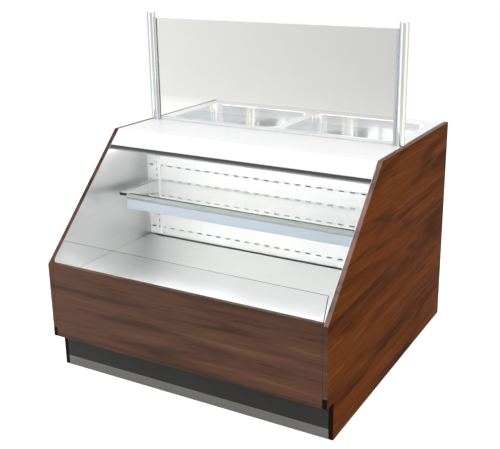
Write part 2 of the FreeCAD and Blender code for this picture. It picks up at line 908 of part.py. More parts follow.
def shelf_bracket(label, side):
    x = about(f"{side} * {STANDARD_X}", "bracket_thickness")
    nose = "shelf_front + shelf_lens_depth + shelf_rail_depth + fit_gap"
    rear = f"{STANDARD_FRONT} - fit_gap"
    outline = [
        (nose, SHELF_UNDER),
        (nose, f"{SHELF_UNDER} - bracket_nose_height"),
        (rear, f"{SHELF_UNDER} - bracket_rear_height"),
        (rear, SHELF_UNDER),
    ]
    arm = extrusion(label + "_arm", x, outline)
    tongue = block(label + "_hook", x, (rear, f"{rear} + hook_reach"), about(hook_middle(), "hook_height"))
    return fuse(label, arm, tongue)


def shelf_supports():
    sides = (("left", -1), ("right", 1))
    node(group("shelf_standards", *(shelf_standard(f"{name}_standard", side) for name, side in sides)))
    node(group("shelf_brackets", *(shelf_bracket(f"{name}_bracket", side) for name, side in sides)))


def shelf():
    """Glass shelf, and the lamp rail under its front edge, which stops short of the left end."""
    glass = ("shelf_front", f"{STANDARD_FRONT} - fit_gap")
    node(block("glass_shelf", across(SHELF_HALF), glass, (SHELF_UNDER, "shelf_top")))
    rail_front = "(shelf_front + shelf_lens_depth)"
    rail_under = f"({SHELF_UNDER} - shelf_rail_height)"
    length = (f"shelf_rail_left_gap - {SHELF_HALF}", f"{SHELF_HALF} - shelf_rail_right_gap")
    rail_depth = ("shelf_front", f"{rail_front} + shelf_rail_depth")
    blank = block("shelf_rail_blank", length, rail_depth, (rail_under, SHELF_UNDER))
    seat_height = (rail_under, f"{rail_under} + shelf_lens_height")
    seat = block("shelf_lens_seat", length, ("shelf_front", rail_front), seat_height)
    node(cut("shelf_front_rail", blank, seat))
    lens_height = (rail_under, f"{rail_under} + shelf_lens_height - fit_gap")
    node(block("shelf_light_lens", length, ("shelf_front", rail_front), lens_height))


# Canopy and worktop

def canopy():
    clear = across(LINED)
    face_foot = f"({SLOPE_LENGTH} - canopy_face_height)"
    trim_foot = f"({face_foot} - canopy_trim_height)"
    node(slope_block("canopy_face", clear, (face_foot, SLOPE_LENGTH), ("-canopy_thickness", "0")))
    node(slope_block("canopy_edge_trim", clear, (trim_foot, face_foot), ("-canopy_trim_depth", "0")))
    comb_rear = "(comb_front + comb_depth)"
    top = "(ceiling_height + sheet)"
    node(block("canopy_ceiling", clear, (comb_rear, "back_wall_depth + sheet"), ("ceiling_height", top)))
    body = body_at("air_discharge_honeycomb", "0", "0", "ceiling_height - comb_drop")
    outline = sketch_on(body, "XY_Plane", "outline")
    rectangle(outline, clear, ("comb_front", comb_rear))
    pad(body, outline, "comb_height")
    slot = sketch_on(body, "XY_Plane", "slot")
    count = row_count(LINED, "comb_end_margin", "comb_slot_width", "comb_slot_pitch")
    first = first_of_row("0", "comb_slot_pitch", count, "comb_slot_width")
    rectangle(slot, first, about("comb_front + comb_depth / 2", "comb_slot_length"))
    cells = pocket(body, slot, "comb_height", backwards=True)
    repeat(body, cells, "H_Axis", "comb_slot_pitch", count)
    node(body)
    lamp = ("lamp_front", "lamp_front + lamp_width")
    length = across(f"({INNER} - sheet - lamp_end_gap)")
    housing_under = "(ceiling_height - lamp_housing)"
    node(block("canopy_light_housing", length, lamp, (housing_under, "ceiling_height")))
    lens_under = f"{housing_under} - lamp_lens"
    outline = [
        ("lamp_front", housing_under),
        ("lamp_front + lamp_lens", lens_under),
        ("lamp_front + lamp_width - lamp_lens", lens_under),
        ("lamp_front + lamp_width", housing_under),
    ]
    node(extrusion("canopy_light_lens", length, outline))


def well_span(side, margin):
    """The X span of a well's opening, grown by a margin."""
    near = f"well_half_divider - ({margin})"
    far = f"well_half_divider + {WELL_WIDTH} + ({margin})"
    return mirrored((near, far), side)


def well_reach(margin):
    """The depth span of a well's opening, grown by a margin."""
    return f"{WELL_FRONT} - ({margin})", f"{WELL_FRONT} + {WELL_LENGTH} + ({margin})"


def worktop():
    rise = "(worktop_height - sill_height) / slope_depth"
    rear = "case_depth - worktop_rear_gap"
    outline = [
        ("slope_depth", "worktop_height"),
        (f"slope_depth + worktop_thickness * {rise}", WORKTOP_UNDER),
        (rear, WORKTOP_UNDER),
        (rear, "worktop_height"),
    ]
    board = extrusion("worktop_board", across(f"{INNER} - fit_gap"), outline)
    height = (WORKTOP_UNDER, "worktop_height")
    margin = "well_wall + well_seat_gap"
    holes = []
    for name, side in (("left", -1), ("right", 1)):
        holes.append(block(f"well_hole_{name}", well_span(side, margin), well_reach(margin), height))
        stud = (f"{side} * {POST_X}", "guard_depth")
        holes.append(rod(f"stud_hole_{name}", "stud_radius + stud_clearance", "z", height, stud))
    node(cut("worktop", board, *holes))


def drain_centre(side):
    return f"{side} * (well_half_divider + {WELL_WIDTH} / 2)", f"{WELL_FRONT} + {WELL_LENGTH} / 2"


def well(label, side):
    """A deep-drawn pan, its walls leaning in, with a flange that rests on the worktop."""
    body = body_at(label, "0", "0", WELL_TOP)
    flange = sketch_on(body, "XY_Plane", "flange")
    flange_x = mirrored(("fit_gap", f"{INNER} - fit_gap"), side)
    flange_depth = (well_reach("well_flange_front")[0], well_reach("well_flange_rear")[1])
    rectangle(flange, flange_x, flange_depth)
    pad(body, flange, "sheet", backwards=True)
    pan = sketch_on(body, "XY_Plane", "pan")
    rounded_rectangle(pan, well_span(side, "well_wall"), well_reach("well_wall"), "well_corner + well_wall")
    pad(body, pan, "well_depth + well_wall", backwards=True, taper="-well_draft")
    opening = sketch_on(body, "XY_Plane", "opening")
    rounded_rectangle(opening, well_span(side, "0"), well_reach("0"), "well_corner")
    pocket(body, opening, "well_depth", taper="-well_draft")
    hole = sketch_on(body, "XY_Plane", "drain")
    circle(hole, *drain_centre(side), "drain_bore + drain_wall + fit_gap")
    pocket(body, hole, "well_depth + 2 * well_wall")
    node(body)


def well_drains():
    drains = []
    floor = f"({WELL_UNDER} + well_wall)"
    end = f"({WELL_UNDER} - drain_drop)"
    top = f"({floor} + drain_flange)"
    for name, side in (("left", -1), ("right", 1)):
        centre = drain_centre(side)
        flange = rod(f"{name}_drain_flange", "drain_flange_radius", "z", (floor, top), centre)
        tail = rod(f"{name}_drain_tail", "drain_bore + drain_wall", "z", (end, top), centre)
        bore = rod(f"{name}_drain_bore", "drain_bore", "z", (end, top), centre)
        drains.append(cut(f"{name}_drain", fuse(f"{name}_drain_blank", flange, tail), bore))
    node(group("well_drains", *drains))


def well_jacket():
    """Foam round both wells, under the worktop."""
    bottom = f"{WELL_UNDER} - jacket_gap - jacket_thickness"
    front = well_reach("well_wall + jacket_gap + jacket_front_wall")[0]
    depth = (front, f"{FRAME_REAR} - rail_size - fit_gap")
    blank = block("jacket_blank", across(f"{INNER} - fit_gap"), depth, (bottom, WORKTOP_UNDER))
    margin = "well_wall + jacket_gap"
    tools = []
    for name, side in (("left", -1), ("right", 1)):
        cavity = (f"{WELL_UNDER} - jacket_gap", WORKTOP_UNDER)
        tools.append(block(f"{name}_jacket_cavity", well_span(side, margin), well_reach(margin), cavity))
        hole_radius = "drain_bore + drain_wall + fit_gap"
        hole_span = (bottom, WELL_UNDER)
        tools.append(rod(f"{name}_jacket_hole", hole_radius, "z", hole_span, drain_centre(side)))
    node(cut("well_jacket", blank, *tools))


# Guard glass

def guard_post(label, side):
    """Slotted tube with a domed top, a welded foot and a stud that goes through the worktop."""
    centre = (f"{side} * {POST_X}", "guard_depth")
    rim = "(post_top - cap_dome)"
    foot_top = "(worktop_height + post_foot)"
    tube = rod(label + "_tube", "post_radius", "z", ("worktop_height", rim), centre)
    dome = doc.addObject("Part::Cone", label + "_dome")
    bind(dome, "Radius1", "post_radius")
    bind(dome, "Radius2", "post_radius - cap_dome")
    bind(dome, "Height", "cap_dome")
    place(dome, *centre, rim)
    stud = rod(label + "_stud", "stud_radius", "z", ("worktop_height - stud_length", foot_top), centre)
    bore = rod(label + "_bore", "post_radius - post_wall", "z", (foot_top, "post_top - cap_height"), centre)
    slot = block(
        label + "_slot",
        mirrored((f"{POST_X} - post_radius", f"{POST_X} - post_radius + gasket_bite + fit_gap"), side),
        about("guard_depth", "gasket_width + 2 * slip_gap"),
        ("worktop_height + guard_bottom_gap - fit_gap", "guard_top + fit_gap"),
    )
    node(cut(label, fuse(label + "_blank", tube, dome, stud), bore, slot))


def post_nuts():
    nuts = []
    for name, side in (("left", -1), ("right", 1)):
        centre = (f"{side} * {POST_X}", "guard_depth")
        prism = doc.addObject("Part::Prism", f"{name}_nut_blank")
        prism.Polygon = 6
        bind(prism, "Circumradius", "nut_radius")
        bind(prism, "Height", "nut_height")
        place(prism, *centre, f"{WORKTOP_UNDER} - nut_height")
        thread = rod(
            f"{name}_nut_thread",
            "stud_radius + thread_clearance",
            "z",
            (f"{WORKTOP_UNDER} - nut_height", WORKTOP_UNDER),
            centre,
        )
        nuts.append(cut(f"{name}_nut", prism, thread))
    node(group("post_nuts", *nuts))


def guard_glass():
    height = ("worktop_height + guard_bottom_gap", "guard_top")
    seat = f"({POST_X} - post_radius + gasket_bite)"
    mouth = f"({POST_X} - post_radius - gasket_reach)"
    edge = f"({mouth} + gasket_cover)"
    pane = about("guard_depth", "guard_glass")
    gaskets = []
    for name, side in (("left", -1), ("right", 1)):
        rubber = mirrored((mouth, seat), side)
        blank = block(f"{name}_gasket_blank", rubber, about("guard_depth", "gasket_width"), height)
        slot = block(f"{name}_gasket_slot", mirrored((mouth, edge), side), pane, height)
        gaskets.append(cut(f"{name}_gasket", blank, slot))
    node(group("glass_gaskets", *gaskets))
    node(block("guard_glass", across(f"{edge} - fit_gap"), pane, height))


# Refrigeration

def finned_coil(label, x, depth, z, foot, fins, rows, layers):
    """Tubes through a stack of thin fins, between two end plates that stand on the foot height."""
    plates = []
    count = int(value(fins))
    for index in range(count):
        end = index in (0, count - 1)
        thick = "coil_end_plate" if end else "fin_thickness"
        low = f"{x[0]} + ({x[1]} - ({x[0]}) - {thick}) * {index} / ({fins} - 1)"
        height = (foot if end else z[0], z[1])
        plates.append(block(f"{label}_fin_{index}", (low, f"{low} + {thick}"), depth, height))
    tubes = []
    row_count, layer_count = int(value(rows)), int(value(layers))
    for row in range(row_count):
        for layer in range(layer_count):
            y = f"{depth[0]} + ({depth[1]} - ({depth[0]})) * ({row} + 0.5) / {rows}"
            height = f"{z[0]} + ({z[1]} - ({z[0]})) * ({layer} + 0.5) / {layers}"
            tubes.append(rod(f"{label}_tube_{row}_{layer}", "coil_tube_radius", "x", x, (y, height)))
    node(fuse(label, *plates, *tubes))


def evaporator_coil():
    finned_coil(
        "evaporator_coil",
        across(EVAPORATOR_HALF),
        about("evaporator_depth", "evaporator_width"),
        ("evaporator_height", "evaporator_height + evaporator_tall"),
        TUB_FLOOR_TOP,
        "evaporator_fins",
        "evaporator_rows",
        "evaporator_layers",
    )


def fan(label, x, height, start, sizes):
    """Hub, pitched blades and shaft; start is the depth of the hub's front face."""
    radius, hub_radius, hub_length, shaft_radius, shaft_reach = sizes
    centre = (x, height)
    hub = rod(label + "_hub", hub_radius, "y", (start, f"{start} + {hub_length}"), centre)
    shaft = rod(label + "_shaft", shaft_radius, "y", (f"{start} - ({shaft_reach})", start), centre)
    blades = []
    count = int(value("fan_blades"))
    root = value(hub_radius) * 0.8
    middle = Vector(value(x), value(f"{FRONT} + {start} + {hub_length} / 2"), value(height))
    chord = f"{hub_length} * 0.8 / sin(blade_pitch)"
    for index in range(count):
        blade = doc.addObject("Part::Box", f"{label}_blade_{index}")
        bind(blade, "Length", f"{radius} - {hub_radius} * 0.8")
        bind(blade, "Width", chord)
        bind(blade, "Height", "blade_thickness")
        spoke = FreeCAD.Rotation(Vector(0, 1, 0), 360 * index / count)
        pitch = FreeCAD.Rotation(Vector(1, 0, 0), value("blade_pitch"))
        corner = Vector(root, -value(chord) / 2, -value("blade_thickness") / 2)
        blade.Placement = FreeCAD.Placement(middle, spoke) * FreeCAD.Placement(Vector(), pitch)
        blade.Placement = blade.Placement * FreeCAD.Placement(corner, FreeCAD.Rotation())
        blades.append(blade)
    node(fuse(label, hub, shaft, *blades))


def fan_motor(label, x, height, depth, radius, shaft_radius):
    """Motor can with a bore for the fan's shaft."""
    can = rod(label + "_can", radius, "y", depth, (x, height))
    bore = rod(label + "_bore", f"{shaft_radius} + fan_clearance", "y", depth, (x, height))
    return cut(label, can, bore)


def motor_strap(label, x, height, plate, reach, hole, shaft_radius, width):
    """A strap across a fan's hole, on two legs, that carries the motor."""
    half = f"({hole} + {width})"
    front = f"({plate} - {reach})"
    z = about(height, width)
    bar = block(label + "_bar", (f"{x} - {half}", f"{x} + {half}"), (front, f"{front} + 2 * sheet"), z)
    pieces = [bar]
    for name, sign in (("low", "-1"), ("high", "1")):
        leg = about(f"{x} + {sign} * ({half} - sheet)", "2 * sheet")
        pieces.append(block(f"{label}_leg_{name}", leg, (front, plate), z))
    thick = (front, f"{front} + 2 * sheet")
    shaft_hole = rod(label + "_hole", f"{shaft_radius} + fit_gap", "y", thick, (x, height))
    return cut(label, fuse(label + "_blank", *pieces), shaft_hole)


def evaporator_fans():
    height = FAN_HEIGHT
    plate_height = (TUB_FLOOR_TOP, f"{LEDGE} - deck_rail_height - fit_gap")
    thick = ("fan_plate_depth", "fan_plate_depth + 2 * sheet")
    plate = block("fan_plate_blank", across(f"{TUB_INSIDE} - fit_gap"), thick, plate_height)
    strap_front = "(fan_plate_depth - fan_bracket_reach)"
    motor_depth = (f"{strap_front} - evaporator_motor_length", strap_front)
    holes, straps, motors = [], [], []
    for name, side in (("left", "-1"), ("right", "1")):
        x = f"({side} * {EVAPORATOR_FAN_X})"
        holes.append(rod(f"{name}_fan_hole", "fan_plate_hole", "y", thick, (x, height)))
        straps.append(
            motor_strap(
                f"{name}_fan_strap",
                x,
                height,
                "fan_plate_depth",
                "fan_bracket_reach",
                "fan_plate_hole",
                "evaporator_shaft_radius",
                "fan_bracket_width",
            )
        )
        motors.append(
            fan_motor(
                f"{name}_evaporator_motor",
                x,
                height,
                motor_depth,
                "evaporator_motor_radius",
                "evaporator_shaft_radius",
            )
        )
        hub_start = "(fan_plate_depth + sheet - evaporator_hub_length / 2)"
        reach = f"{hub_start} - ({motor_depth[0]}) - shaft_end_gap"
        sizes = (
            "evaporator_fan_radius",
            "evaporator_hub_radius",
            "evaporator_hub_length",
            "evaporator_shaft_radius",
            reach,
        )
        fan(f"{name}_evaporator_fan", x, height, hub_start, sizes)
    pierced = cut("fan_plate_pierced", plate, *holes)
    node(fuse("evaporator_fan_plate", pierced, *straps))
    node(group("evaporator_fan_motors", *motors))


def machine_tray():
    depth = (f"{TUB_REAR} + fit_gap", f"{FRAME_REAR} - rail_size - fit_gap")
    node(block("machine_tray", across(f"{INNER} - fit_gap"), depth, (FRAME_TOP, TRAY_TOP)))


def compressor():
    centre = (COMPRESSOR_X, COMPRESSOR_DEPTH)
    foot = f"({TRAY_TOP} + mount_height)"
    shell_base = f"({foot} + compressor_plate)"
    top = f"({shell_base} + compressor_height)"
    plate = block(
        "compressor_foot",
        about(COMPRESSOR_X, "compressor_plate_x"),
        about(COMPRESSOR_DEPTH, "compressor_plate_y"),
        (foot, shell_base),
    )
    can_span = (shell_base, f"{top} - compressor_shoulder")
    can = rod("compressor_can", "compressor_radius", "z", can_span, centre)
    shoulder = doc.addObject("Part::Cone", "compressor_shoulder_cone")
    bind(shoulder, "Radius1", "compressor_radius")
    bind(shoulder, "Radius2", "compressor_radius - compressor_shoulder")
    bind(shoulder, "Height", "compressor_shoulder")
    place(shoulder, *centre, f"{top} - compressor_shoulder")
    node(fuse("compressor", plate, can, shoulder))
    mounts = []
    for index, (side, end) in enumerate((("-1", "-1"), ("1", "-1"), ("-1", "1"), ("1", "1"))):
        x = f"{COMPRESSOR_X} + {side} * (compressor_plate_x / 2 - mount_inset)"
        depth = f"{COMPRESSOR_DEPTH} + {end} * (compressor_plate_y / 2 - mount_inset)"
        mounts.append(rod(f"compressor_mount_{index}", "mount_radius", "z", (TRAY_TOP, foot), (x, depth)))
    node(group("compressor_mounts", *mounts))


def condenser():
    x = about(CONDENSER_X, "2 * condenser_half_width")
    depth = (CONDENSER_FRONT, f"{CONDENSER_FRONT} + condenser_thick")
    z = (CONDENSER_BASE, f"{CONDENSER_BASE} + condenser_tall")
    tubes = ("condenser_rows", "condenser_layers")
    finned_coil("condenser_coil", x, depth, z, TRAY_TOP, "condenser_fins", *tubes)
    ring_bore = "(condenser_fan_radius + condenser_ring_gap)"
    centre = (CONDENSER_X, CONDENSER_MIDDLE)
    box_height = (TRAY_TOP, z[1])
    box = block("shroud_box", x, (SHROUD_PLATE, CONDENSER_FRONT), box_height)
    hollow = block(
        "shroud_hollow",
        (f"{x[0]} + 2 * sheet", f"{x[1]} - 2 * sheet"),
        (f"{SHROUD_PLATE} + 2 * sheet", CONDENSER_FRONT),
        (f"{TRAY_TOP} + 2 * sheet", f"{z[1]} - 2 * sheet"),
    )
    ring_span = (f"{SHROUD_PLATE} - shroud_ring", f"{SHROUD_PLATE} + 2 * sheet")
    ring = rod("shroud_ring", f"{ring_bore} + 2 * sheet", "y", ring_span, centre)
    bore = rod("shroud_bore", ring_bore, "y", ring_span, centre)
    shell = fuse("shroud_shell", cut("shroud_case", box, hollow), ring)
    strap_plate = f"({SHROUD_PLATE})"
    strap_reach = "(shroud_ring + motor_bracket_reach)"
    strap = motor_strap(
        "condenser_strap",
        CONDENSER_X,
        CONDENSER_MIDDLE,
        strap_plate,
        strap_reach,
        "condenser_fan_radius",
        "condenser_shaft_radius",
        "motor_bracket_width",
    )
    node(fuse("condenser_shroud", cut("shroud_bored", shell, bore), strap))
    strap_front = f"({strap_plate} - {strap_reach})"
    motor_depth = (f"{strap_front} - condenser_motor_length", strap_front)
    node(
        fan_motor(
            "condenser_fan_motor",
            CONDENSER_X,
            CONDENSER_MIDDLE,
            motor_depth,
            "condenser_motor_radius",
            "condenser_shaft_radius",
        )
    )
    hub_start = f"({SHROUD_PLATE} - shroud_ring / 2 - condenser_hub_length / 2)"
    reach = f"{hub_start} - ({motor_depth[0]}) - shaft_end_gap"
    sizes = (
        "condenser_fan_radius",
        "condenser_hub_radius",
        "condenser_hub_length",
        "condenser_shaft_radius",
        reach,
    )
    fan("condenser_fan", CONDENSER_X, CONDENSER_MIDDLE, hub_start, sizes)


def pipe(label, route, radius, bend):
    """A solid tube of straight runs joined by tangent arcs; the route's points are X, depth and height."""
    points = [Vector(value(x), value(f"{FRONT} + ({depth})"), value(z)) for x, depth, z in route]
    size = value(bend)
    edges = []
    start = points[0]
    for before, corner, after in zip(points, points[1:], points[2:]):
        inward = (before - corner).normalize()
        outward = (after - corner).normalize()
        turn = math.pi - inward.getAngle(outward)
        setback = size * math.tan(turn / 2)
        first = corner + inward * setback
        last = corner + outward * setback
        bisector = (inward + outward).normalize()
        middle = corner + bisector * (size / math.cos(turn / 2) - size)
        edges.append(Part.LineSegment(start, first).toShape())
        edges.append(Part.Arc(first, middle, last).toShape())
        start = last
    edges.append(Part.LineSegment(start, points[-1]).toShape())
    path = Part.Wire(edges)
    section = Part.Wire(Part.Circle(points[0], points[1] - points[0], value(radius)).toShape())
    piece = doc.addObject("Part::Feature", label)
    piece.Shape = path.makePipeShell([section], True, False)
    expected = math.pi * value(radius) ** 2 * path.Length
    if abs(piece.Shape.Volume - expected) > expected / 100:
        raise RuntimeError(f"{label} does not fill its route")
    return piece


def refrigerant_lines():
    end_plate = EVAPORATOR_HALF
    suction_depth = "evaporator_depth - evaporator_width / 4"
    liquid_depth = "evaporator_depth + evaporator_width / 4"
    suction = pipe(
        "suction_line",
        [
            (end_plate, suction_depth, "suction_height"),
            (SUCTION_X, suction_depth, "suction_height"),
            (SUCTION_X, SUCTION_CROSS, "suction_height"),
            (COMPRESSOR_X, SUCTION_CROSS, "suction_height"),
            (COMPRESSOR_X, SUCTION_CROSS, "suction_port_height"),
            (COMPRESSOR_X, f"{COMPRESSOR_DEPTH} - compressor_radius - slip_gap", "suction_port_height"),
        ],
        "suction_radius",
        "pipe_bend",
    )
    coil_middle = f"{CONDENSER_FRONT} + condenser_thick / 2"
    liquid = pipe(
        "liquid_line",
        [
            (f"{CONDENSER_X} + condenser_half_width", coil_middle, "liquid_low"),
            (LIQUID_X, coil_middle, "liquid_low"),
            (LIQUID_X, LIQUID_RISE, "liquid_low"),
            (LIQUID_X, LIQUID_RISE, "liquid_height"),
            (LIQUID_X, liquid_depth, "liquid_height"),
            (end_plate, liquid_depth, "liquid_height"),
        ],
        "liquid_radius",
        "liquid_radius * 3",
    )
    compressor_top = f"{TRAY_TOP} + mount_height + compressor_plate + compressor_height"
    discharge = pipe(
        "discharge_line",
        [
            (COMPRESSOR_X, COMPRESSOR_DEPTH, compressor_top),
            (COMPRESSOR_X, COMPRESSOR_DEPTH, "discharge_height"),
            (COMPRESSOR_X, coil_middle, "discharge_height"),
            (f"{CONDENSER_X} - condenser_half_width", coil_middle, "discharge_height"),
        ],
        "liquid_radius",
        "pipe_bend",
    )
    node(group("refrigerant_lines", suction, liquid, discharge))


def condensate():
    node(
        pipe(
            "drain_pipe",
            [
                ("drain_x", "drain_depth", TUB_FLOOR_TOP),
                ("drain_x", "drain_depth", DRAIN_RUN),
                ("drain_x", DRAIN_END, DRAIN_RUN),
                ("drain_x", DRAIN_END, f"{DRAIN_RUN} - pipe_bend - drain_tail"),
            ],
            "drain_pipe_radius",
            "pipe_bend",
        )
    )
    x = across("pan_half_width")
    depth = (PAN_FRONT, f"{PAN_FRONT} + pan_length")
    z = (TRAY_TOP, f"{DRAIN_RUN} - drain_pipe_radius - pan_gap")
    blank = block("pan_blank", x, depth, z)
    hollow = block(
        "pan_hollow",
        (f"{x[0]} + pan_wall", f"{x[1]} - pan_wall"),
        (f"{depth[0]} + pan_wall", f"{depth[1]} - pan_wall"),
        (f"{z[0]} + pan_wall", z[1]),
    )
    node(cut("condensate_pan", blank, hollow))


# Rear panels and controls

def rear_panels():
    half = f"({INNER} - fit_gap)"
    depth = (REAR_INSIDE, REAR_FACE)
    split = ("rear_split_height + fit_gap", f"{WORKTOP_UNDER} - fit_gap")
    upper = upright_sheet("rear_upper_panel", across(half), depth, split)
    window = sketch_on(upper, "XZ_Plane", "control_window")
    margin = "2 * control_plate"
    rectangle(
        window,
        about(CONTROL_X, f"control_width - {margin}"),
        about("control_height", f"control_tall - {margin}"),
    )
    pocket(upper, window, "2 * sheet")
    node(upper)
    service = upright_sheet(
        "rear_service_panel", across(half), depth, ("service_panel_bottom", "rear_split_height - fit_gap")
    )
    louvres = sketch_on(service, "XZ_Plane", "louvres")
    columns = int(value("louvre_columns"))
    for column in range(columns):
        offset = f"{CONDENSER_X} + ({column} - ({columns} - 1) / 2) * (louvre_length + louvre_pitch)"
        rectangle(louvres, about(offset, "louvre_length"), about("louvre_first_height", "louvre_height"))
    repeat(service, pocket(service, louvres, "2 * sheet"), "V_Axis", "louvre_pitch", "louvre_rows")
    holes = sketch_on(service, "XZ_Plane", "holes")
    for x, z in screw_places():
        circle(holes, x, z, "screw_shank_radius + thread_clearance")
    circle(holes, GLAND_X, "gland_height", "gland_thread_radius + thread_clearance")
    service.Tip = pocket(service, holes, "2 * sheet")
    node(service)


def screw_places():
    """Four screws hold the service panel, near its corners."""
    half = f"({INNER} - fit_gap - screw_inset)"
    low = "service_panel_bottom + screw_inset"
    high = "rear_split_height - fit_gap - screw_inset"
    return [(f"{side} * {half}", z) for side in ("-1", "1") for z in (low, high)]


def rear_panel_screws():
    screws = []
    for index, (x, z) in enumerate(screw_places()):
        head_span = (REAR_FACE, f"{REAR_FACE} + screw_head")
        head = rod(f"screw_head_{index}", "screw_head_radius", "y", head_span, (x, z))
        shank_span = (f"{REAR_FACE} - screw_shank", REAR_FACE)
        shank = rod(f"screw_shank_{index}", "screw_shank_radius", "y", shank_span, (x, z))
        screws.append(fuse(f"screw_{index}", head, shank))
    node(group("rear_panel_screws", *screws))


SWITCHES = (("power_switch", "-1"), ("light_switch", "0"))
PIVOT_DEPTH = f"({CONTROL_FACE} - pivot_setback)"


def switch_x(step):
    return f"({CONTROL_X} + {step} * switch_spacing)"


KNOB_X = f"({CONTROL_X} + 1.25 * switch_spacing)"


def control_plate():
    """Plate with a case behind each rocker switch and a boss for the thermostat's stem."""
    plate = block(
        "control_plate_blank",
        about(CONTROL_X, "control_width"),
        about(f"({REAR_FACE} + {CONTROL_FACE}) / 2", "control_plate"),
        about("control_height", "control_tall"),
    )
    solids = [plate]
    tools = []
    inside = "rocker_half_height + rocker_swing_gap"
    for name, step in SWITCHES:
        x = switch_x(step)
        width = "rocker_width + 2 * rocker_gap"
        case_depth = (f"{CONTROL_FACE} - switch_case_depth", REAR_FACE)
        case_x = about(x, f"{width} + 2 * switch_wall")
        case_z = about("control_height", f"2 * ({inside} + switch_wall)")
        solids.append(block(name + "_case", case_x, case_depth, case_z))
        well_depth = (f"{CONTROL_FACE} - switch_case_depth + switch_wall", CONTROL_FACE)
        window = about("control_height", f"2 * ({inside})")
        tools.append(block(name + "_window", about(x, width), well_depth, window))
        hole_span = about(x, "rocker_width + 2 * (pivot_length + rocker_gap)")
        hole = "pivot_radius + fan_clearance"
        tools.append(rod(name + "_pivot_hole", hole, "x", hole_span, (PIVOT_DEPTH, "control_height")))
    boss = (f"{REAR_FACE} - knob_boss", REAR_FACE)
    solids.append(rod("knob_boss", "knob_boss_radius", "y", boss, (KNOB_X, "control_height")))
    stem_hole = (f"{CONTROL_FACE} - knob_stem - knob_gap", CONTROL_FACE)
    hole = "knob_stem_radius + fan_clearance"
    tools.append(rod("knob_hole", hole, "y", stem_hole, (KNOB_X, "control_height")))
    node(cut("control_plate", fuse("control_plate_solid", *solids), *tools))


def rocker(name, step):
    """Dished rocker at its off position, leaning about its pivot."""
    lean = FreeCAD.Rotation(Vector(1, 0, 0), value("rocker_tilt"))
    body = doc.addObject("PartDesign::Body", name)
    place(body, f"{switch_x(step)} - rocker_width / 2", PIVOT_DEPTH, "control_height", turn=lean)
    bind(body, "Placement.Rotation.Angle", "rocker_tilt")
    key = sketch_on(body, "YZ_Plane", "key")
    tip = "pivot_setback + rocker_proud"
    outline = [
        ("-rocker_back", "-rocker_half_height"),
        (tip, "-rocker_half_height"),
        (f"{tip} - rocker_dish", "0"),
        (tip, "rocker_half_height"),
        ("-rocker_back", "rocker_half_height"),
    ]
    polygon(key, outline)
    pad(body, key, "rocker_width")
    pivot = sketch_on(body, "YZ_Plane", "pivot")
    pivot.AttachmentOffset = FreeCAD.Placement(Vector(0, 0, -value("pivot_length")), FreeCAD.Rotation())
    bind(pivot, "AttachmentOffset.Base.z", "-pivot_length")
    circle(pivot, "0", "0", "pivot_radius")
    body.Tip = pad(body, pivot, "rocker_width + 2 * pivot_length")
    node(body)


def thermostat_knob():
    centre = (KNOB_X, "control_height")
    face = f"({CONTROL_FACE} + knob_gap)"
    top = f"({face} + knob_height)"
    skirt = rod("knob_skirt", "knob_radius", "y", (face, f"{face} + knob_height / 3"), centre)
    grip_radius = "(knob_radius - knob_taper)"
    grip = rod("knob_grip", grip_radius, "y", (face, f"{face} + knob_height * 2 / 3"), centre)
    pointer = block(
        "knob_pointer",
        about(KNOB_X, "knob_pointer_width"),
        (f"{face} + knob_height / 3", top),
        about("control_height", f"2 * {grip_radius}"),
    )
    stem = rod("knob_stem", "knob_stem_radius", "y", (f"{CONTROL_FACE} - knob_stem", face), centre)
    node(fuse("thermostat_knob", skirt, grip, pointer, stem))


def cable_gland():
    centre = (GLAND_X, "gland_height")
    flange_end = f"({REAR_FACE} + gland_flange)"
    end = f"({flange_end} + gland_length - gland_flange)"
    flange = rod("gland_flange", "gland_radius", "y", (REAR_FACE, flange_end), centre)
    nut = doc.addObject("Part::Prism", "gland_nut")
    nut.Polygon = 6
    bind(nut, "Circumradius", "gland_nut_radius")
    bind(nut, "Height", "gland_length - gland_flange")
    place(nut, GLAND_X, flange_end, "gland_height", turn=TURNS["y"])
    tail_start = f"({REAR_FACE} - gland_tail)"
    tail = rod("gland_tail", "gland_thread_radius", "y", (tail_start, REAR_FACE), centre)
    bore = rod("gland_bore", "gland_bore", "y", (tail_start, end), centre)
    node(cut("cable_gland", fuse("gland_blank", flange, nut, tail), bore))


def build():
    side_panel("left_side_panel", -1)
    side_panel("right_side_panel", 1)
    front_boards()
    base_frame()
    levelling_feet()
    insulated_tub()
    deck_support_rails()
    deck()
    front_lip()
    side_liner("left_liner", -1)
    side_liner("right_liner", 1)
    back_panel()
    shelf_supports()
    shelf()
    canopy()
    worktop()
    well("left_well", -1)
    well("right_well", 1)
    well_drains()
    well_jacket()
    guard_post("left_guard_post", -1)
    guard_post("right_guard_post", 1)
    post_nuts()
    guard_glass()
    evaporator_coil()
    evaporator_fans()
    machine_tray()
    compressor()
    condenser()
    refrigerant_lines()
    condensate()
    rear_panels()
    rear_panel_screws()
    control_plate()
    for name, step in SWITCHES:
        rocker(name, step)
    thermostat_knob()
    cable_gland()


def check():
    doc.recompute()
    for item in doc.Objects:
        if "Invalid" in item.State or "Error" in item.State:
            raise RuntimeError(f"{item.Label} failed: {item.State}")
    for piece in nodes:
        if piece.Shape.isNull() or not piece.Shape.isValid():
            raise RuntimeError(f"{piece.Label} has no valid shape")


def write():
    os.makedirs("parts", exist_ok=True)
    for piece in nodes:
        piece.Shape.exportStep(f"parts/{piece.Label}.step")


build()
check()
write()
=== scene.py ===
import math

import bmesh
import bpy
from bpy.props import FloatProperty, FloatVectorProperty, PointerProperty
from mathutils import Matrix, Vector


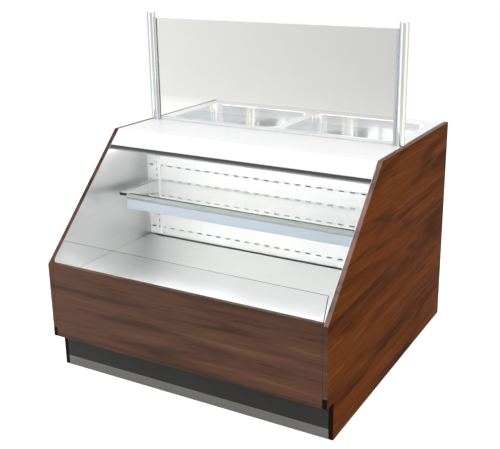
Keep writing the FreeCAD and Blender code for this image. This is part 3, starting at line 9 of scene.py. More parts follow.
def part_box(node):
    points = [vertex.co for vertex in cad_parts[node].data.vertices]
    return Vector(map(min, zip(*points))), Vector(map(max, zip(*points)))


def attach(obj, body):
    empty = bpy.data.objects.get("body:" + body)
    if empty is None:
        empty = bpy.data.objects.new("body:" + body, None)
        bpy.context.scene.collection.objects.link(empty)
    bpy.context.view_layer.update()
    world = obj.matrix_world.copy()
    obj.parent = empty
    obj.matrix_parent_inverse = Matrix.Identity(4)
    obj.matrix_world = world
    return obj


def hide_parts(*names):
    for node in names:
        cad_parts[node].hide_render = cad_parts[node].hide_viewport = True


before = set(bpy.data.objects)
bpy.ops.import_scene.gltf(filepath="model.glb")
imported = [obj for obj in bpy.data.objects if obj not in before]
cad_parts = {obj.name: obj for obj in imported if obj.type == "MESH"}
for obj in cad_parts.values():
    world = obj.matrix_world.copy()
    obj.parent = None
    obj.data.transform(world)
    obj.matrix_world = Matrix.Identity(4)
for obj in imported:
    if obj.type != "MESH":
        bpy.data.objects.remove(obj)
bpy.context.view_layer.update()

bl_info = {
    "name": "Refrigerated Counter",
    "version": (1, 0, 0),
    "blender": (4, 5, 0),
    "location": "View3D > Sidebar > Counter",
    "description": "Finishes an open-front refrigerated counter with cold wells and a guard glass",
    "category": "Object",
}

FINISH_NAME = "counter {}"

# Units and axes, nearness in metres, and cosines for the turn of a face from an axis

MM = 0.001
X, Y, Z = range(3)
NEAR = 1e-5
WELD = 2e-6
SLOPING = 0.3
TURNED = 0.5
STRAIGHT = 0.9
FLUSH = 0.97

# Places and sizes that the solid model fixes

LIP_TILT = math.radians(66.4)
WELL_INNER = 0.022
WELL_OUTER = 0.541
WELL_FRONT = 0.154
WELL_REAR = 0.524
WELL_FLOOR = 0.7655
DRAIN_HOLE = 16.5 * MM
GUARD_HALF = 0.56
LOUVRE_LOWEST = 0.15
LOUVRE_PITCH = 22 * MM
LOUVRE_ROWS = 13
LOUVRE_MIDDLES = (0.109, 0.351)
LOUVRE_LENGTH = 0.228
LOUVRE_TALL = 12 * MM
LOUVRE_BITE = 0.5 * MM
LOUVRE_ROUND = 0.7
KNOB_X = -0.265
KNOB_Z = 0.62

# Marks round the thermostat knob

KNOB_MARKS = 10
KNOB_MARK_TURN = math.radians(-30)
KNOB_MARK_LOW = (-0.5 * MM, -0.2 * MM, -25 * MM)
KNOB_MARK_HIGH = (0.5 * MM, 0.3 * MM, -20.5 * MM)

# Roundings of the smaller pieces, and thickness of the pressed sheets

BLADE_EDGE = 0.3 * MM
MOULDED_EDGE = 0.6 * MM
TURNED_EDGE = 0.8 * MM
FOOT_EDGE = 1.5 * MM
CAST_EDGE = 2 * MM
SHELL_EDGE = 3 * MM
WELL_SHEET = 1.5 * MM
LOUVRE_SHEET = 0.8 * MM

# Values that several finishes share

EVEN = (1.0, 1.0, 1.0)
WHITE = (1.0, 1.0, 1.0, 1.0)
NOISE_LOW = 0.3
NOISE_HIGH = 0.7
NOISE_ROUGH = 0.6
GUARD_CLEAR = 0.95
GUARD_TINTED = 1.03
GUARD_FOOT_TINT = (0.95, 0.955, 0.95, 1.0)
# How dark the painted shade makes the guard glass at its right end
GUARD_PAINTED_SHADE_RIGHT = 0.745
# Near-black tones for the side boards' low front edges, a painted shade
PAINTED_SHADE_TONES = ((0.004, 0.001, 0.001), (0.009, 0.002, 0.001), (0.015, 0.004, 0.003))
LIT_OPAL = ((0.90, 0.92, 0.94), (0.30, 0.40), 500.0, 0.03, 0.02)


# Settings that a user would change

class LaminateSettings(bpy.types.PropertyGroup):
    """Wood-look boards of the case."""

    # The front tones are greyer than the side tones of the same laminate, a painted sheen where the front
    # tones are used
    front_dark: FloatVectorProperty(
        name="Front dark", description="Dark streaks of the front board",
        default=(0.054, 0.020, 0.0105), subtype="COLOR", min=0, max=1)
    front_mid: FloatVectorProperty(
        name="Front middle", description="Ground colour of the front board",
        default=(0.109, 0.044, 0.024), subtype="COLOR", min=0, max=1)
    front_light: FloatVectorProperty(
        name="Front light", description="Pale streaks of the front board",
        default=(0.166, 0.0735, 0.045), subtype="COLOR", min=0, max=1)
    side_dark: FloatVectorProperty(
        name="Side dark", description="Dark streaks of the side boards",
        default=(0.085, 0.020, 0.003), subtype="COLOR", min=0, max=1)
    side_mid: FloatVectorProperty(
        name="Side middle", description="Ground colour of the side boards",
        default=(0.155, 0.042, 0.0083), subtype="COLOR", min=0, max=1)
    side_light: FloatVectorProperty(
        name="Side light", description="Pale streaks of the side boards",
        default=(0.222, 0.067, 0.018), subtype="COLOR", min=0, max=1)
    # These paler tones go on the right board's sloping edge only, a painted highlight; the left board's
    # sloping edge takes the darker front tones
    edge_dark: FloatVectorProperty(
        name="Edge dark", description="Dark streaks of the sloping edges",
        default=(0.135, 0.074, 0.062), subtype="COLOR", min=0, max=1)
    edge_mid: FloatVectorProperty(
        name="Edge middle", description="Ground colour of the sloping edges",
        default=(0.235, 0.138, 0.118), subtype="COLOR", min=0, max=1)
    edge_light: FloatVectorProperty(
        name="Edge light", description="Pale streaks of the sloping edges",
        default=(0.310, 0.198, 0.170), subtype="COLOR", min=0, max=1)
    edge_radius: FloatProperty(
        name="Board edge", description="Rounding of the boards' edges",
        default=1.0 * MM, unit="LENGTH", min=0)
    # Up to this height the side boards' front edges are near-black, a painted shade
    painted_shade_height: FloatProperty(
        name="Dark foot", description="Height up to which the side boards' front edges are dark",
        default=187 * MM, unit="LENGTH", min=0)


class MetalSettings(bpy.types.PropertyGroup):
    """Sheet metal, wells and posts."""

    steel: FloatVectorProperty(
        name="Stainless steel", description="Colour of the brushed steel",
        default=(0.81, 0.815, 0.81), subtype="COLOR", min=0, max=1)
    liner: FloatVectorProperty(
        name="Side linings", description="Colour of the steel side linings",
        default=(0.70, 0.71, 0.705), subtype="COLOR", min=0, max=1)
    well_steel: FloatVectorProperty(
        name="Well steel", description="Colour of the polished wells",
        default=(0.875, 0.887, 0.897), subtype="COLOR", min=0, max=1)
    chrome: FloatVectorProperty(
        name="Chrome", description="Colour of the polished posts and drains",
        default=(0.54, 0.585, 0.615), subtype="COLOR", min=0, max=1)
    white: FloatVectorProperty(
        name="White paint", description="Colour of the painted sheets",
        default=(0.86, 0.87, 0.87), subtype="COLOR", min=0, max=1)
    kick_dark: FloatVectorProperty(
        name="Kick plate", description="Colour of the recessed kick plate",
        default=(0.026, 0.026, 0.024), subtype="COLOR", min=0, max=1)
    kick_strip: FloatVectorProperty(
        name="Kick strip", description="Colour of the strip at the floor",
        default=(0.150, 0.147, 0.139), subtype="COLOR", min=0, max=1)
    sheet_edge: FloatProperty(
        name="Sheet edge", description="Rounding of thin sheet edges",
        default=0.4 * MM, unit="LENGTH", min=0)
    fold_radius: FloatProperty(
        name="Fold", description="Rounding of folded sheet edges",
        default=0.7 * MM, unit="LENGTH", min=0)
    well_corner: FloatProperty(
        name="Well corner", description="Upright corner radius of a well",
        default=45 * MM, unit="LENGTH", min=0)
    well_foot: FloatProperty(
        name="Well foot", description="Radius between a well's walls and its floor",
        default=20 * MM, unit="LENGTH", min=0)
    well_rim: FloatProperty(
        name="Well rim", description="Rounding where a well's wall meets its flange",
        default=4 * MM, unit="LENGTH", min=0)
    well_draft: FloatProperty(
        name="Well draft", description="How far a well's walls lean in towards its floor",
        default=13 * MM, unit="LENGTH", min=0)
    louvre_reach: FloatProperty(
        name="Louvre reach", description="How far a louvre stands off the service panel",
        default=6 * MM, unit="LENGTH", min=0)


class GlassSettings(bpy.types.PropertyGroup):
    """Shelf, lip and guard glass, and the lamps' covers."""

    # The grey stands partly for the glass's own tint and partly for a painted reflection
    guard: FloatVectorProperty(
        name="Guard glass", description="Tint of the guard glass",
        default=(0.715, 0.722, 0.705), subtype="COLOR", min=0, max=1)
    shelf: FloatVectorProperty(
        name="Shelf glass", description="Tint of the shelf's faces",
        default=(0.99, 0.998, 0.995), subtype="COLOR", min=0, max=1)
    shelf_edge: FloatVectorProperty(
        name="Shelf edge", description="Colour seen in the shelf's cut edges",
        default=(0.55, 0.63, 0.59), subtype="COLOR", min=0, max=1)
    lip: FloatVectorProperty(
        name="Clear lip", description="Tint of the clear lip",
        default=(0.95, 0.96, 0.96), subtype="COLOR", min=0, max=1)
    lens: FloatVectorProperty(
        name="Lamp cover", description="Colour of the shelf lamp's cover",
        default=(0.64, 0.72, 0.82), subtype="COLOR", min=0, max=1)
    lamp_glow: FloatProperty(
        name="Canopy lamp", description="Brightness of the canopy lamp's cover",
        default=13.0, min=0)
    shelf_glow: FloatProperty(
        name="Shelf lamp", description="Brightness of the lit underside of the shelf's front rail",
        default=8.0, min=0)
    ground_edge: FloatProperty(
        name="Ground edge", description="Rounding of the glass edges",
        default=1.2 * MM, unit="LENGTH", min=0)


class StageSettings(bpy.types.PropertyGroup):
    """Floor, lamps and camera."""

    key_power: FloatProperty(
        name="Key lamp", description="Power of the large lamp at the front left",
        default=102, unit="POWER", min=0)
    fill_power: FloatProperty(
        name="Fill lamp", description="Power of the lamp at the right",
        default=50, unit="POWER", min=0)
    top_power: FloatProperty(
        name="Top lamp", description="Power of the lamp overhead",
        default=58, unit="POWER", min=0)
    card_power: FloatProperty(
        name="Side cards", description="Power of the warm and the cool card at the sides",
        default=8, unit="POWER", min=0)
    screen_glow: FloatProperty(
        name="Low screens", description="Brightness of the lit screens that polished metal mirrors",
        default=1.0, min=0)
    ambient: FloatProperty(
        name="Room light", description="Strength of the even light from all round",
        default=0.50, min=0)
    floor: FloatVectorProperty(
        name="Floor", description="Colour of the floor",
        default=(0.88, 0.88, 0.88), subtype="COLOR", min=0, max=1)
    lens: FloatProperty(
        name="Camera lens", description="Focal length of the camera",
        default=58.03, unit="CAMERA", min=1)


# Finishes

def picked(value):
    """A colour or number as it is, or the setting that a path names."""
    return bpy.context.scene.path_resolve(value) if isinstance(value, str) else value


def shader_of(material):
    return material.node_tree.nodes["Principled BSDF"]


def new_finish(name):
    """An empty material with its node tree and shader."""
    material = bpy.data.materials.new(FINISH_NAME.format(name))
    material.use_nodes = True
    return material, material.node_tree, shader_of(material)


def add(tree, kind, inputs=None, **settings):
    """A node with its settings and the values of its sockets."""
    node = tree.nodes.new(kind)
    for name, setting in settings.items():
        setattr(node, name, setting)
    for name, setting in (inputs or {}).items():
        if isinstance(setting, bpy.types.NodeSocket):
            tree.links.new(setting, node.inputs[name])
        else:
            node.inputs[name].default_value = setting
    return node


def spread(tree, scale):
    """Object coordinates stretched by a scale for each axis."""
    place = add(tree, "ShaderNodeTexCoord").outputs["Object"]
    return add(tree, "ShaderNodeMapping", {"Vector": place, "Scale": scale}).outputs["Vector"]


def drawn_out(along, scale, across=1.0):
    """A scale for each axis, with another one along the grain where there is a grain."""
    scales = [across] * 3
    if along is not None:
        scales[along] = scale
    return scales


def grain(tree, scale, size, detail, twist=0.0):
    """Noise on stretched object coordinates."""
    inputs = {
        "Vector": spread(tree, scale), "Scale": size, "Detail": detail, "Roughness": NOISE_ROUGH,
        "Distortion": twist,
    }
    return add(tree, "ShaderNodeTexNoise", inputs).outputs["Fac"]


def run_along(tree, axis, start, end, low=0.0, high=1.0):
    """A value that runs from low to high between two places on an axis."""
    place = add(tree, "ShaderNodeSeparateXYZ", {"Vector": spread(tree, EVEN)}).outputs[axis]
    inputs = {"Value": place, "From Min": start, "From Max": end, "To Min": low, "To Max": high}
    return add(tree, "ShaderNodeMapRange", inputs).outputs["Result"]


def between(tree, source, low, high):
    """A value carried from the noise's middle range to a range of its own."""
    inputs = {
        "Value": source, "From Min": NOISE_LOW, "From Max": NOISE_HIGH, "To Min": low, "To Max": high,
    }
    return add(tree, "ShaderNodeMapRange", inputs).outputs["Result"]


def steps(tree, source, stops):
    """A colour ramp; each stop is a place and a colour or a grey."""
    ramp = add(tree, "ShaderNodeValToRGB", {"Fac": source})
    elements = ramp.color_ramp.elements
    elements.remove(elements[0])
    for index, (at, colour) in enumerate(stops):
        element = elements[0] if index == 0 else elements.new(at)
        element.position = at
        colour = (colour,) * 3 if isinstance(colour, float) else tuple(colour)
        element.color = (*colour, 1.0)
    return ramp.outputs["Color"]


def mottled(tree, source, colour, contrast):
    """A colour that a noise makes a little darker and lighter."""
    dark = tuple(part * (1.0 - contrast) for part in colour)
    light = tuple(min(1.0, part * (1.0 + contrast)) for part in colour)
    return steps(tree, source, [(NOISE_LOW, dark), (NOISE_HIGH, light)])


def darkened(tree, colour, shade):
    """A colour multiplied by a pattern."""
    mix = add(tree, "ShaderNodeMix", data_type="RGBA", blend_type="MULTIPLY")
    mix.inputs["Factor"].default_value = 1.0
    tree.links.new(colour, mix.inputs["A"])
    tree.links.new(shade, mix.inputs["B"])
    return mix.outputs["Result"]


def raise_surface(tree, shader, height, strength, depth):
    """Bump on a shader."""
    inputs = {"Height": height, "Strength": strength, "Distance": depth}
    tree.links.new(add(tree, "ShaderNodeBump", inputs).outputs["Normal"], shader.inputs["Normal"])


def wood_finish(name, along, tones, gloss, shine):
    """Printed walnut laminate: long streaks, darker veins, fine pores and a satin coat."""
    material, tree, shader = new_finish(name)
    dark, middle, light = (picked(tone) for tone in tones)
    lengthwise = drawn_out(along, 0.045)
    streaks = grain(tree, lengthwise, size=34.0, detail=6.0, twist=0.5)
    colour = steps(tree, streaks, [(0.28, dark), (0.45, middle), (0.55, middle), (0.72, light)])
    veins = grain(tree, drawn_out(along, 0.11), size=11.0, detail=3.0, twist=0.8)
    bands = steps(tree, veins, [(0.34, 0.42), (0.50, 0.88), (0.64, 1.0)])
    pores = grain(tree, lengthwise, size=170.0, detail=3.0, twist=0.1)
    lines = steps(tree, pores, [(0.32, 0.72), (0.45, 1.0)])
    colour = darkened(tree, darkened(tree, colour, bands), lines)
    tree.links.new(colour, shader.inputs["Base Color"])
    tree.links.new(between(tree, pores, gloss + 0.08, gloss - 0.04), shader.inputs["Roughness"])
    shader.inputs["Specular IOR Level"].default_value = shine
    raise_surface(tree, shader, pores, strength=0.12, depth=0.3 * MM)
    return material


def board_tones(board):
    """Paths of the dark, middle and light setting of one kind of board."""
    return [f"counter_laminate.{board}_{tone}" for tone in ("dark", "mid", "light")]


def metal_finish(name, colour, along, rough, contrast, relief):
    """Metal brushed along one axis, or evenly where no axis is given."""
    material, tree, shader = new_finish(name)
    brush = grain(tree, drawn_out(along, 2.0, across=260.0), size=1.0, detail=3.0)
    cloud = grain(tree, EVEN, size=4.0, detail=2.0)
    tint = mottled(tree, brush, picked(colour), contrast)
    smear = steps(tree, cloud, [(NOISE_LOW, 0.95), (NOISE_HIGH, 1.0)])
    tree.links.new(darkened(tree, tint, smear), shader.inputs["Base Color"])
    tree.links.new(between(tree, cloud, *rough), shader.inputs["Roughness"])
    shader.inputs["Metallic"].default_value = 1.0
    raise_surface(tree, shader, brush, relief, depth=0.1 * MM)
    return material


def galvanised(name):
    """Zinc-coated sheet with its crystal spangle."""
    material, tree, shader = new_finish(name)
    inputs = {"Vector": spread(tree, EVEN), "Scale": 90.0, "Randomness": 1.0}
    spangle = add(tree, "ShaderNodeTexVoronoi", inputs, feature="F1").outputs["Color"]
    flake = add(tree, "ShaderNodeSeparateColor", {"Color": spangle}).outputs["Red"]
    tree.links.new(steps(tree, flake, [(0.0, 0.42), (1.0, 0.60)]), shader.inputs["Base Color"])
    tree.links.new(between(tree, flake, 0.34, 0.48), shader.inputs["Roughness"])
    shader.inputs["Metallic"].default_value = 0.9
    raise_surface(tree, shader, flake, strength=0.05, depth=0.1 * MM)
    return material


def coated_finish(name, colour, rough, size, relief, contrast, shine=0.5):
    """Paint, plastic or rubber: a faint mottle and a fine moulded or sprayed texture."""
    material, tree, shader = new_finish(name)
    cloud = grain(tree, EVEN, size=6.0, detail=4.0)
    tree.links.new(mottled(tree, cloud, picked(colour), contrast), shader.inputs["Base Color"])
    skin = grain(tree, EVEN, size, detail=2.0)
    tree.links.new(between(tree, skin, *rough), shader.inputs["Roughness"])
    shader.inputs["Specular IOR Level"].default_value = shine
    raise_surface(tree, shader, skin, relief, depth=0.2 * MM)
    return material


def trim_bead(name, *coat):
    """Charcoal bead at the top, paling through a painted soft shade towards its lower lip."""
    material = coated_finish(name, *coat)
    tree = material.node_tree
    paint = shader_of(material).inputs["Base Color"]
    mottle = paint.links[0].from_socket
    low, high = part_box("canopy_edge_trim")
    rise = run_along(tree, Z, low.z, high.z)
    # Painted soft shade along the bead's height
    painted_soft_shade = steps(tree, rise, [(0.0, 0.80), (0.35, 0.40), (0.55, 0.12), (0.75, 0.05), (1.0, 0.05)])
    tree.links.new(darkened(tree, mottle, painted_soft_shade), paint)
    return material


def opal_cover(name, *coat):
    """Unlit opal cover that lets a little light in."""
    material = coated_finish(name, *coat)
    shader = shader_of(material)
    shader.inputs["Subsurface Weight"].default_value = 0.2
    shader.inputs["Subsurface Radius"].default_value = (4 * MM, 4 * MM, 4 * MM)
    return material


def lit_cover(name, glow, *coat):
    """Lit opal cover of a lamp."""
    material = coated_finish(name, *coat)
    shader = shader_of(material)
    shader.inputs["Emission Color"].default_value = (1.0, 0.99, 0.98, 1.0)
    shader.inputs["Emission Strength"].default_value = picked(glow)
    return material


def glass_finish(name, tint, bend):
    """Clear glass with the faintest film of wiping marks."""
    material, tree, shader = new_finish(name)
    film = grain(tree, (1.0, 1.0, 2.5), size=3.0, detail=5.0, twist=0.6)
    tree.links.new(mottled(tree, film, picked(tint), 0.01), shader.inputs["Base Color"])
    tree.links.new(between(tree, film, 0.012, 0.03), shader.inputs["Roughness"])
    shader.inputs["Transmission Weight"].default_value = 1.0
    shader.inputs["IOR"].default_value = bend
    raise_surface(tree, shader, film, strength=0.01, depth=0.1 * MM)
    return material


def guard_pane(name, tint, bend):
    """Guard glass, darkened towards its right end by a painted shade, and clear along its foot."""
    material = glass_finish(name, tint, bend)
    tree = material.node_tree
    paint = shader_of(material).inputs["Base Color"]
    film = paint.links[0].from_socket
    # Painted shade: the tint darkens towards the right end
    shade = run_along(tree, X, -GUARD_HALF, GUARD_HALF, 1.0, GUARD_PAINTED_SHADE_RIGHT)
    mix = add(tree, "ShaderNodeMix", data_type="RGBA")
    tree.links.new(run_along(tree, Z, GUARD_CLEAR, GUARD_TINTED), mix.inputs["Factor"])
    mix.inputs["A"].default_value = GUARD_FOOT_TINT
    tree.links.new(darkened(tree, film, shade), mix.inputs["B"])
    tree.links.new(mix.outputs["Result"], paint)
    return material


def ground_edge(name, colour, shine):
    """Ground and polished edge of a pane, where its own colour gathers."""
    material = coated_finish(name, colour, (0.14, 0.22), 300.0, 0.03, 0.10, shine)
    shader = shader_of(material)
    shader.inputs["Transmission Weight"].default_value = 0.25
    shader.inputs["IOR"].default_value = 1.5
    return material


FINISHES = {
    # Laminate: axis of the grain, tones, roughness, shine
    "walnut_front": (wood_finish, X, board_tones("front"), 0.36, 0.15),
    "walnut_side": (wood_finish, Y, board_tones("side"), 0.42, 0.004),
    # Paler tones on the right board's sloping edge, a painted highlight
    "walnut_edge": (wood_finish, Y, board_tones("edge"), 0.34, 0.35),
    # Near-black laminate on the side boards' low front edges, a painted shade
    "walnut_foot": (wood_finish, Z, PAINTED_SHADE_TONES, 0.5, 0.05),
    # Metal: colour, axis of the brushing, range of roughness, contrast, relief
    "steel_long": (metal_finish, "counter_metal.steel", X, (0.29, 0.36), 0.03, 0.05),
    "steel_deep": (metal_finish, "counter_metal.liner", Y, (0.30, 0.40), 0.03, 0.05),
    "steel_drawn": (metal_finish, "counter_metal.well_steel", None, (0.06, 0.12), 0.02, 0.03),
    "chrome": (metal_finish, "counter_metal.chrome", Z, (0.03, 0.08), 0.03, 0.01),
    "satin_aluminium": (metal_finish, (0.74, 0.75, 0.76), X, (0.28, 0.36), 0.04, 0.05),
    "rail_metal": (metal_finish, (0.36, 0.41, 0.39), X, (0.30, 0.38), 0.04, 0.05),
    "strip_metal": (metal_finish, "counter_metal.kick_strip", X, (0.36, 0.46), 0.06, 0.06),
    "zinc": (metal_finish, (0.60, 0.60, 0.57), None, (0.30, 0.40), 0.06, 0.05),
    "copper": (metal_finish, (0.72, 0.36, 0.20), None, (0.29, 0.38), 0.10, 0.04),
    "fin_aluminium": (metal_finish, (0.62, 0.63, 0.64), Z, (0.32, 0.46), 0.10, 0.10),
    "galvanised": (galvanised,),
    # Paint, plastic and rubber: colour, range of roughness, size of the texture, relief, contrast, shine
    "white_paint": (coated_finish, "counter_metal.white", (0.34, 0.42), 700.0, 0.06, 0.012),
    "white_board": (coated_finish, "counter_metal.white", (0.29, 0.36), 420.0, 0.04, 0.012),
    "kick_paint": (coated_finish, "counter_metal.kick_dark", (0.36, 0.46), 600.0, 0.12, 0.10, 0.15),
    "frame_paint": (coated_finish, (0.20, 0.21, 0.22), (0.40, 0.50), 500.0, 0.10, 0.10),
    # Painted soft shade: the bead pales from charcoal at the top to its pale colour at the lower lip
    "trim_bead": (trim_bead, (0.90, 0.92, 0.93), (0.40, 0.50), 600.0, 0.10, 0.06, 0.2),
    "black_plastic": (coated_finish, (0.022, 0.022, 0.023), (0.40, 0.52), 900.0, 0.16, 0.10),
    "black_enamel": (coated_finish, (0.020, 0.020, 0.022), (0.16, 0.26), 260.0, 0.06, 0.10),
    "black_rubber": (coated_finish, (0.030, 0.030, 0.030), (0.66, 0.80), 800.0, 0.22, 0.12),
    "grey_rubber": (coated_finish, (0.52, 0.53, 0.53), (0.46, 0.58), 800.0, 0.14, 0.06),
    "grey_plastic": (coated_finish, (0.46, 0.46, 0.45), (0.44, 0.54), 700.0, 0.12, 0.06),
    # The tub's grey is partly its lining's colour and partly painted shade for the plenum seen through the
    # slots
    "tub_skin": (coated_finish, (0.48, 0.49, 0.50), (0.42, 0.52), 500.0, 0.08, 0.03),
    "foam": (coated_finish, (0.78, 0.70, 0.52), (0.80, 0.92), 320.0, 0.40, 0.08),
    "mark_white": (coated_finish, (0.80, 0.80, 0.78), (0.50, 0.60), 900.0, 0.05, 0.02),
    "lens_cover": (opal_cover, "counter_glass.lens", (0.24, 0.34), 500.0, 0.03, 0.02),
    # Lit covers: glow, then as for paint
    "lamp_cover": (lit_cover, "counter_glass.lamp_glow", *LIT_OPAL),
    "shelf_lamp": (lit_cover, "counter_glass.shelf_glow", *LIT_OPAL),
    # Glass: tint, bend of the light
    "guard_pane": (guard_pane, "counter_glass.guard", 1.45),
    "shelf_pane": (glass_finish, "counter_glass.shelf", 1.12),
    "lip_pane": (glass_finish, "counter_glass.lip", 1.12),
    # Edges of the glass: colour, shine
    "shelf_rim": (ground_edge, "counter_glass.shelf_edge", 0.5),
    # Near-black on the shelf's front edge left of the rail, a painted shade
    "shelf_tip": (ground_edge, (0.03, 0.034, 0.034), 0.05),
    "guard_rim": (ground_edge, (0.50, 0.56, 0.54), 0.5),
    # Near-black on the clear lip's cut edges, a painted shade
    "lip_rim": (ground_edge, (0.03, 0.034, 0.034), 0.02),
}


def finish(name):
    """The named finish, made the first time that it is asked for."""
    made = bpy.data.materials.get(FINISH_NAME.format(name))
    maker, *arguments = FINISHES[name]
    return made or maker(name, *arguments)


# Shapes

def copy_of(node):
    """The node's mesh, with its loose triangles joined and its flat faces made whole."""
    bm = bmesh.new()
    bm.from_mesh(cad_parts[node].data)
    bmesh.ops.remove_doubles(bm, verts=bm.verts, dist=WELD)
    bmesh.ops.dissolve_limit(
        bm, angle_limit=math.radians(0.5), verts=bm.verts, edges=bm.edges, use_dissolve_boundaries=False)
    return bm


def round_edges(bm, radius, segments=2, angle=30):
    """Round the edges that turn by more than an angle, in degrees."""
    limit = math.radians(angle)
    edges = [edge for edge in bm.edges if len(edge.link_faces) == 2 and edge.calc_face_angle() > limit]
    round_these(bm, edges, radius, segments)


def round_these(bm, edges, radius, segments):
    bmesh.ops.bevel(
        bm, geom=edges, offset=radius, offset_type="OFFSET", affect="EDGES", segments=segments,
        profile=0.5, material=-1, clamp_overlap=True)


def box(bm, low, high):
    """A box between two corners."""
    low, high = Vector(low), Vector(high)
    place = Matrix.Translation((low + high) / 2) @ Matrix.Diagonal((*(high - low), 1.0))
    return bmesh.ops.create_cube(bm, size=1.0, matrix=place)["verts"]


def cut(bm, place, normal):
    """Divide the faces that a plane crosses."""
    everything = bm.verts[:] + bm.edges[:] + bm.faces[:]
    bmesh.ops.bisect_plane(bm, geom=everything, plane_co=place, plane_no=normal)


def finish_faces(bm, index, test):
    """Give a finish to the faces that pass a test."""
    for face in bm.faces:
        if test(face):
            face.material_index = index


def keep(bm, name, looks, body="case", nodes=(), smooth=40):
    """Turn a bmesh into a piece of the object."""
    mesh = bpy.data.meshes.new(name)
    bm.to_mesh(mesh)
    bm.free()
    for look in looks:
        mesh.materials.append(finish(look))
    mesh.shade_smooth()
    mesh.set_sharp_from_angle(angle=math.radians(smooth))
    piece = bpy.data.objects.new(name, mesh)
    bpy.context.scene.collection.objects.link(piece)
    piece.modifiers.new("Even shading", "WEIGHTED_NORMAL").keep_sharp = True
    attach(piece, body)
    if nodes:
        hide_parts(*nodes)
    return piece


def thicken(piece, thickness):
    """Give a sheet its thickness, behind the face that was modelled."""
    wall = piece.modifiers.new("Sheet", "SOLIDIFY")
    wall.thickness = thickness
    wall.offset = -1.0


def rounded(node, look, radius, body="case", segments=2, edge_look=None, face_axis=None, angle=30):
    """A node's shape with rounded edges; edge_look goes on the faces that don't look along face_axis."""
    bm = copy_of(node)
    round_edges(bm, radius, segments, angle)
    looks = [look]
    if edge_look:
        looks.append(edge_look)
        axis = Vector(face_axis).normalized()
        finish_faces(bm, 1, lambda face: abs(face.normal.dot(axis)) < STRAIGHT)
    return keep(bm, node + "_piece", looks, body, (node,))


def dress(node, look):
    """Give a node that keeps its own shape its finish."""
    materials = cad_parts[node].data.materials
    materials.clear()
    materials.append(finish(look))


# Pieces

class COUNTER_OT_side_panels(bpy.types.Operator):
    """Two walnut side panels with edge banding"""

    bl_idname = "counter.side_panels"
    bl_label = "Side panels"

    def execute(self, context):
        radius = context.scene.counter_laminate.edge_radius
        painted_shade_height = context.scene.counter_laminate.painted_shade_height
        # One banding on both boards, painted lit and shaded: the right sloping edge takes the paler edge
        # tones, the left one the darker front tones
        for node, painted_light_slope in (("left_side_panel", "walnut_front"), ("right_side_panel", "walnut_edge")):
            bm = copy_of(node)
            round_edges(bm, radius)
            cut(bm, (0, 0, painted_shade_height), (0, 0, 1))
            finish_faces(bm, 1, lambda face: SLOPING < face.normal.z < STRAIGHT)
            finish_faces(bm, 2, lambda face: face.normal.y < -STRAIGHT or face.normal.z > STRAIGHT)
            # Below that height the front edges take near-black tones, a painted shade
            finish_faces(
                bm, 3,
                lambda face: face.normal.y < -STRAIGHT and face.calc_center_median().z < painted_shade_height)
            looks = ["walnut_side", painted_light_slope, "walnut_front", "walnut_foot"]
            keep(bm, node + "_piece", looks, "case", (node,))
        return {"FINISHED"}


class COUNTER_OT_front_boards(bpy.types.Operator):
    """Front board, kick plate and strip"""

    bl_idname = "counter.front_boards"
    bl_label = "Front boards"

    def execute(self, context):
        radius = context.scene.counter_laminate.edge_radius
        rounded("front_fascia", "walnut_front", radius)
        rounded("kick_plate", "kick_paint", radius)
        rounded("kick_strip", "strip_metal", context.scene.counter_metal.fold_radius)
        return {"FINISHED"}


class COUNTER_OT_base(bpy.types.Operator):
    """Welded base frame and levelling feet"""

    bl_idname = "counter.base"
    bl_label = "Base"

    def execute(self, context):
        dress("base_frame", "frame_paint")
        rounded("levelling_feet", "black_rubber", FOOT_EDGE, segments=3)
        return {"FINISHED"}


class COUNTER_OT_cold_tub(bpy.types.Operator):
    """Insulated tub and the rails that carry the deck"""

    bl_idname = "counter.cold_tub"
    bl_label = "Cold tub"

    def execute(self, context):
        # Grey tub, partly a painted shade behind the back panel's slots and foot gap
        dress("insulated_tub", "tub_skin")
        dress("deck_support_rails", "steel_long")
        return {"FINISHED"}


class COUNTER_OT_deck(bpy.types.Operator):
    """Lift-out deck pan and return air grille"""

    bl_idname = "counter.deck"
    bl_label = "Deck"

    def execute(self, context):
        fold = context.scene.counter_metal.fold_radius
        rounded("deck_pan", "steel_long", fold, body="deck_pan", segments=3)
        edge = context.scene.counter_metal.sheet_edge
        rounded("return_air_grille", "steel_long", edge, body="return_air_grille")
        return {"FINISHED"}


class COUNTER_OT_lip(bpy.types.Operator):
    """Clear lip and the channel that holds it"""

    bl_idname = "counter.lip"
    bl_label = "Clear lip"

    def execute(self, context):
        across = Vector((0, -math.sin(LIP_TILT), math.cos(LIP_TILT)))
        bm = copy_of("front_lip")
        round_edges(bm, context.scene.counter_glass.ground_edge)
        # The cut edges are near-black, a painted shade, but for the left one, which stands against the
        # lining
        finish_faces(
            bm, 1, lambda face: abs(face.normal.dot(across)) < FLUSH and face.normal.x > -SLOPING)
        keep(bm, "front_lip_piece", ["lip_pane", "lip_rim"], "case", ("front_lip",))
        rounded("lip_channel", "steel_long", context.scene.counter_metal.fold_radius)
        return {"FINISHED"}


class COUNTER_OT_linings(bpy.types.Operator):
    """Steel side linings and slotted white back panel"""

    bl_idname = "counter.linings"
    bl_label = "Linings"

    def execute(self, context):
        dress("left_liner", "steel_deep")
        dress("right_liner", "steel_deep")
        dress("back_panel", "white_paint")
        return {"FINISHED"}


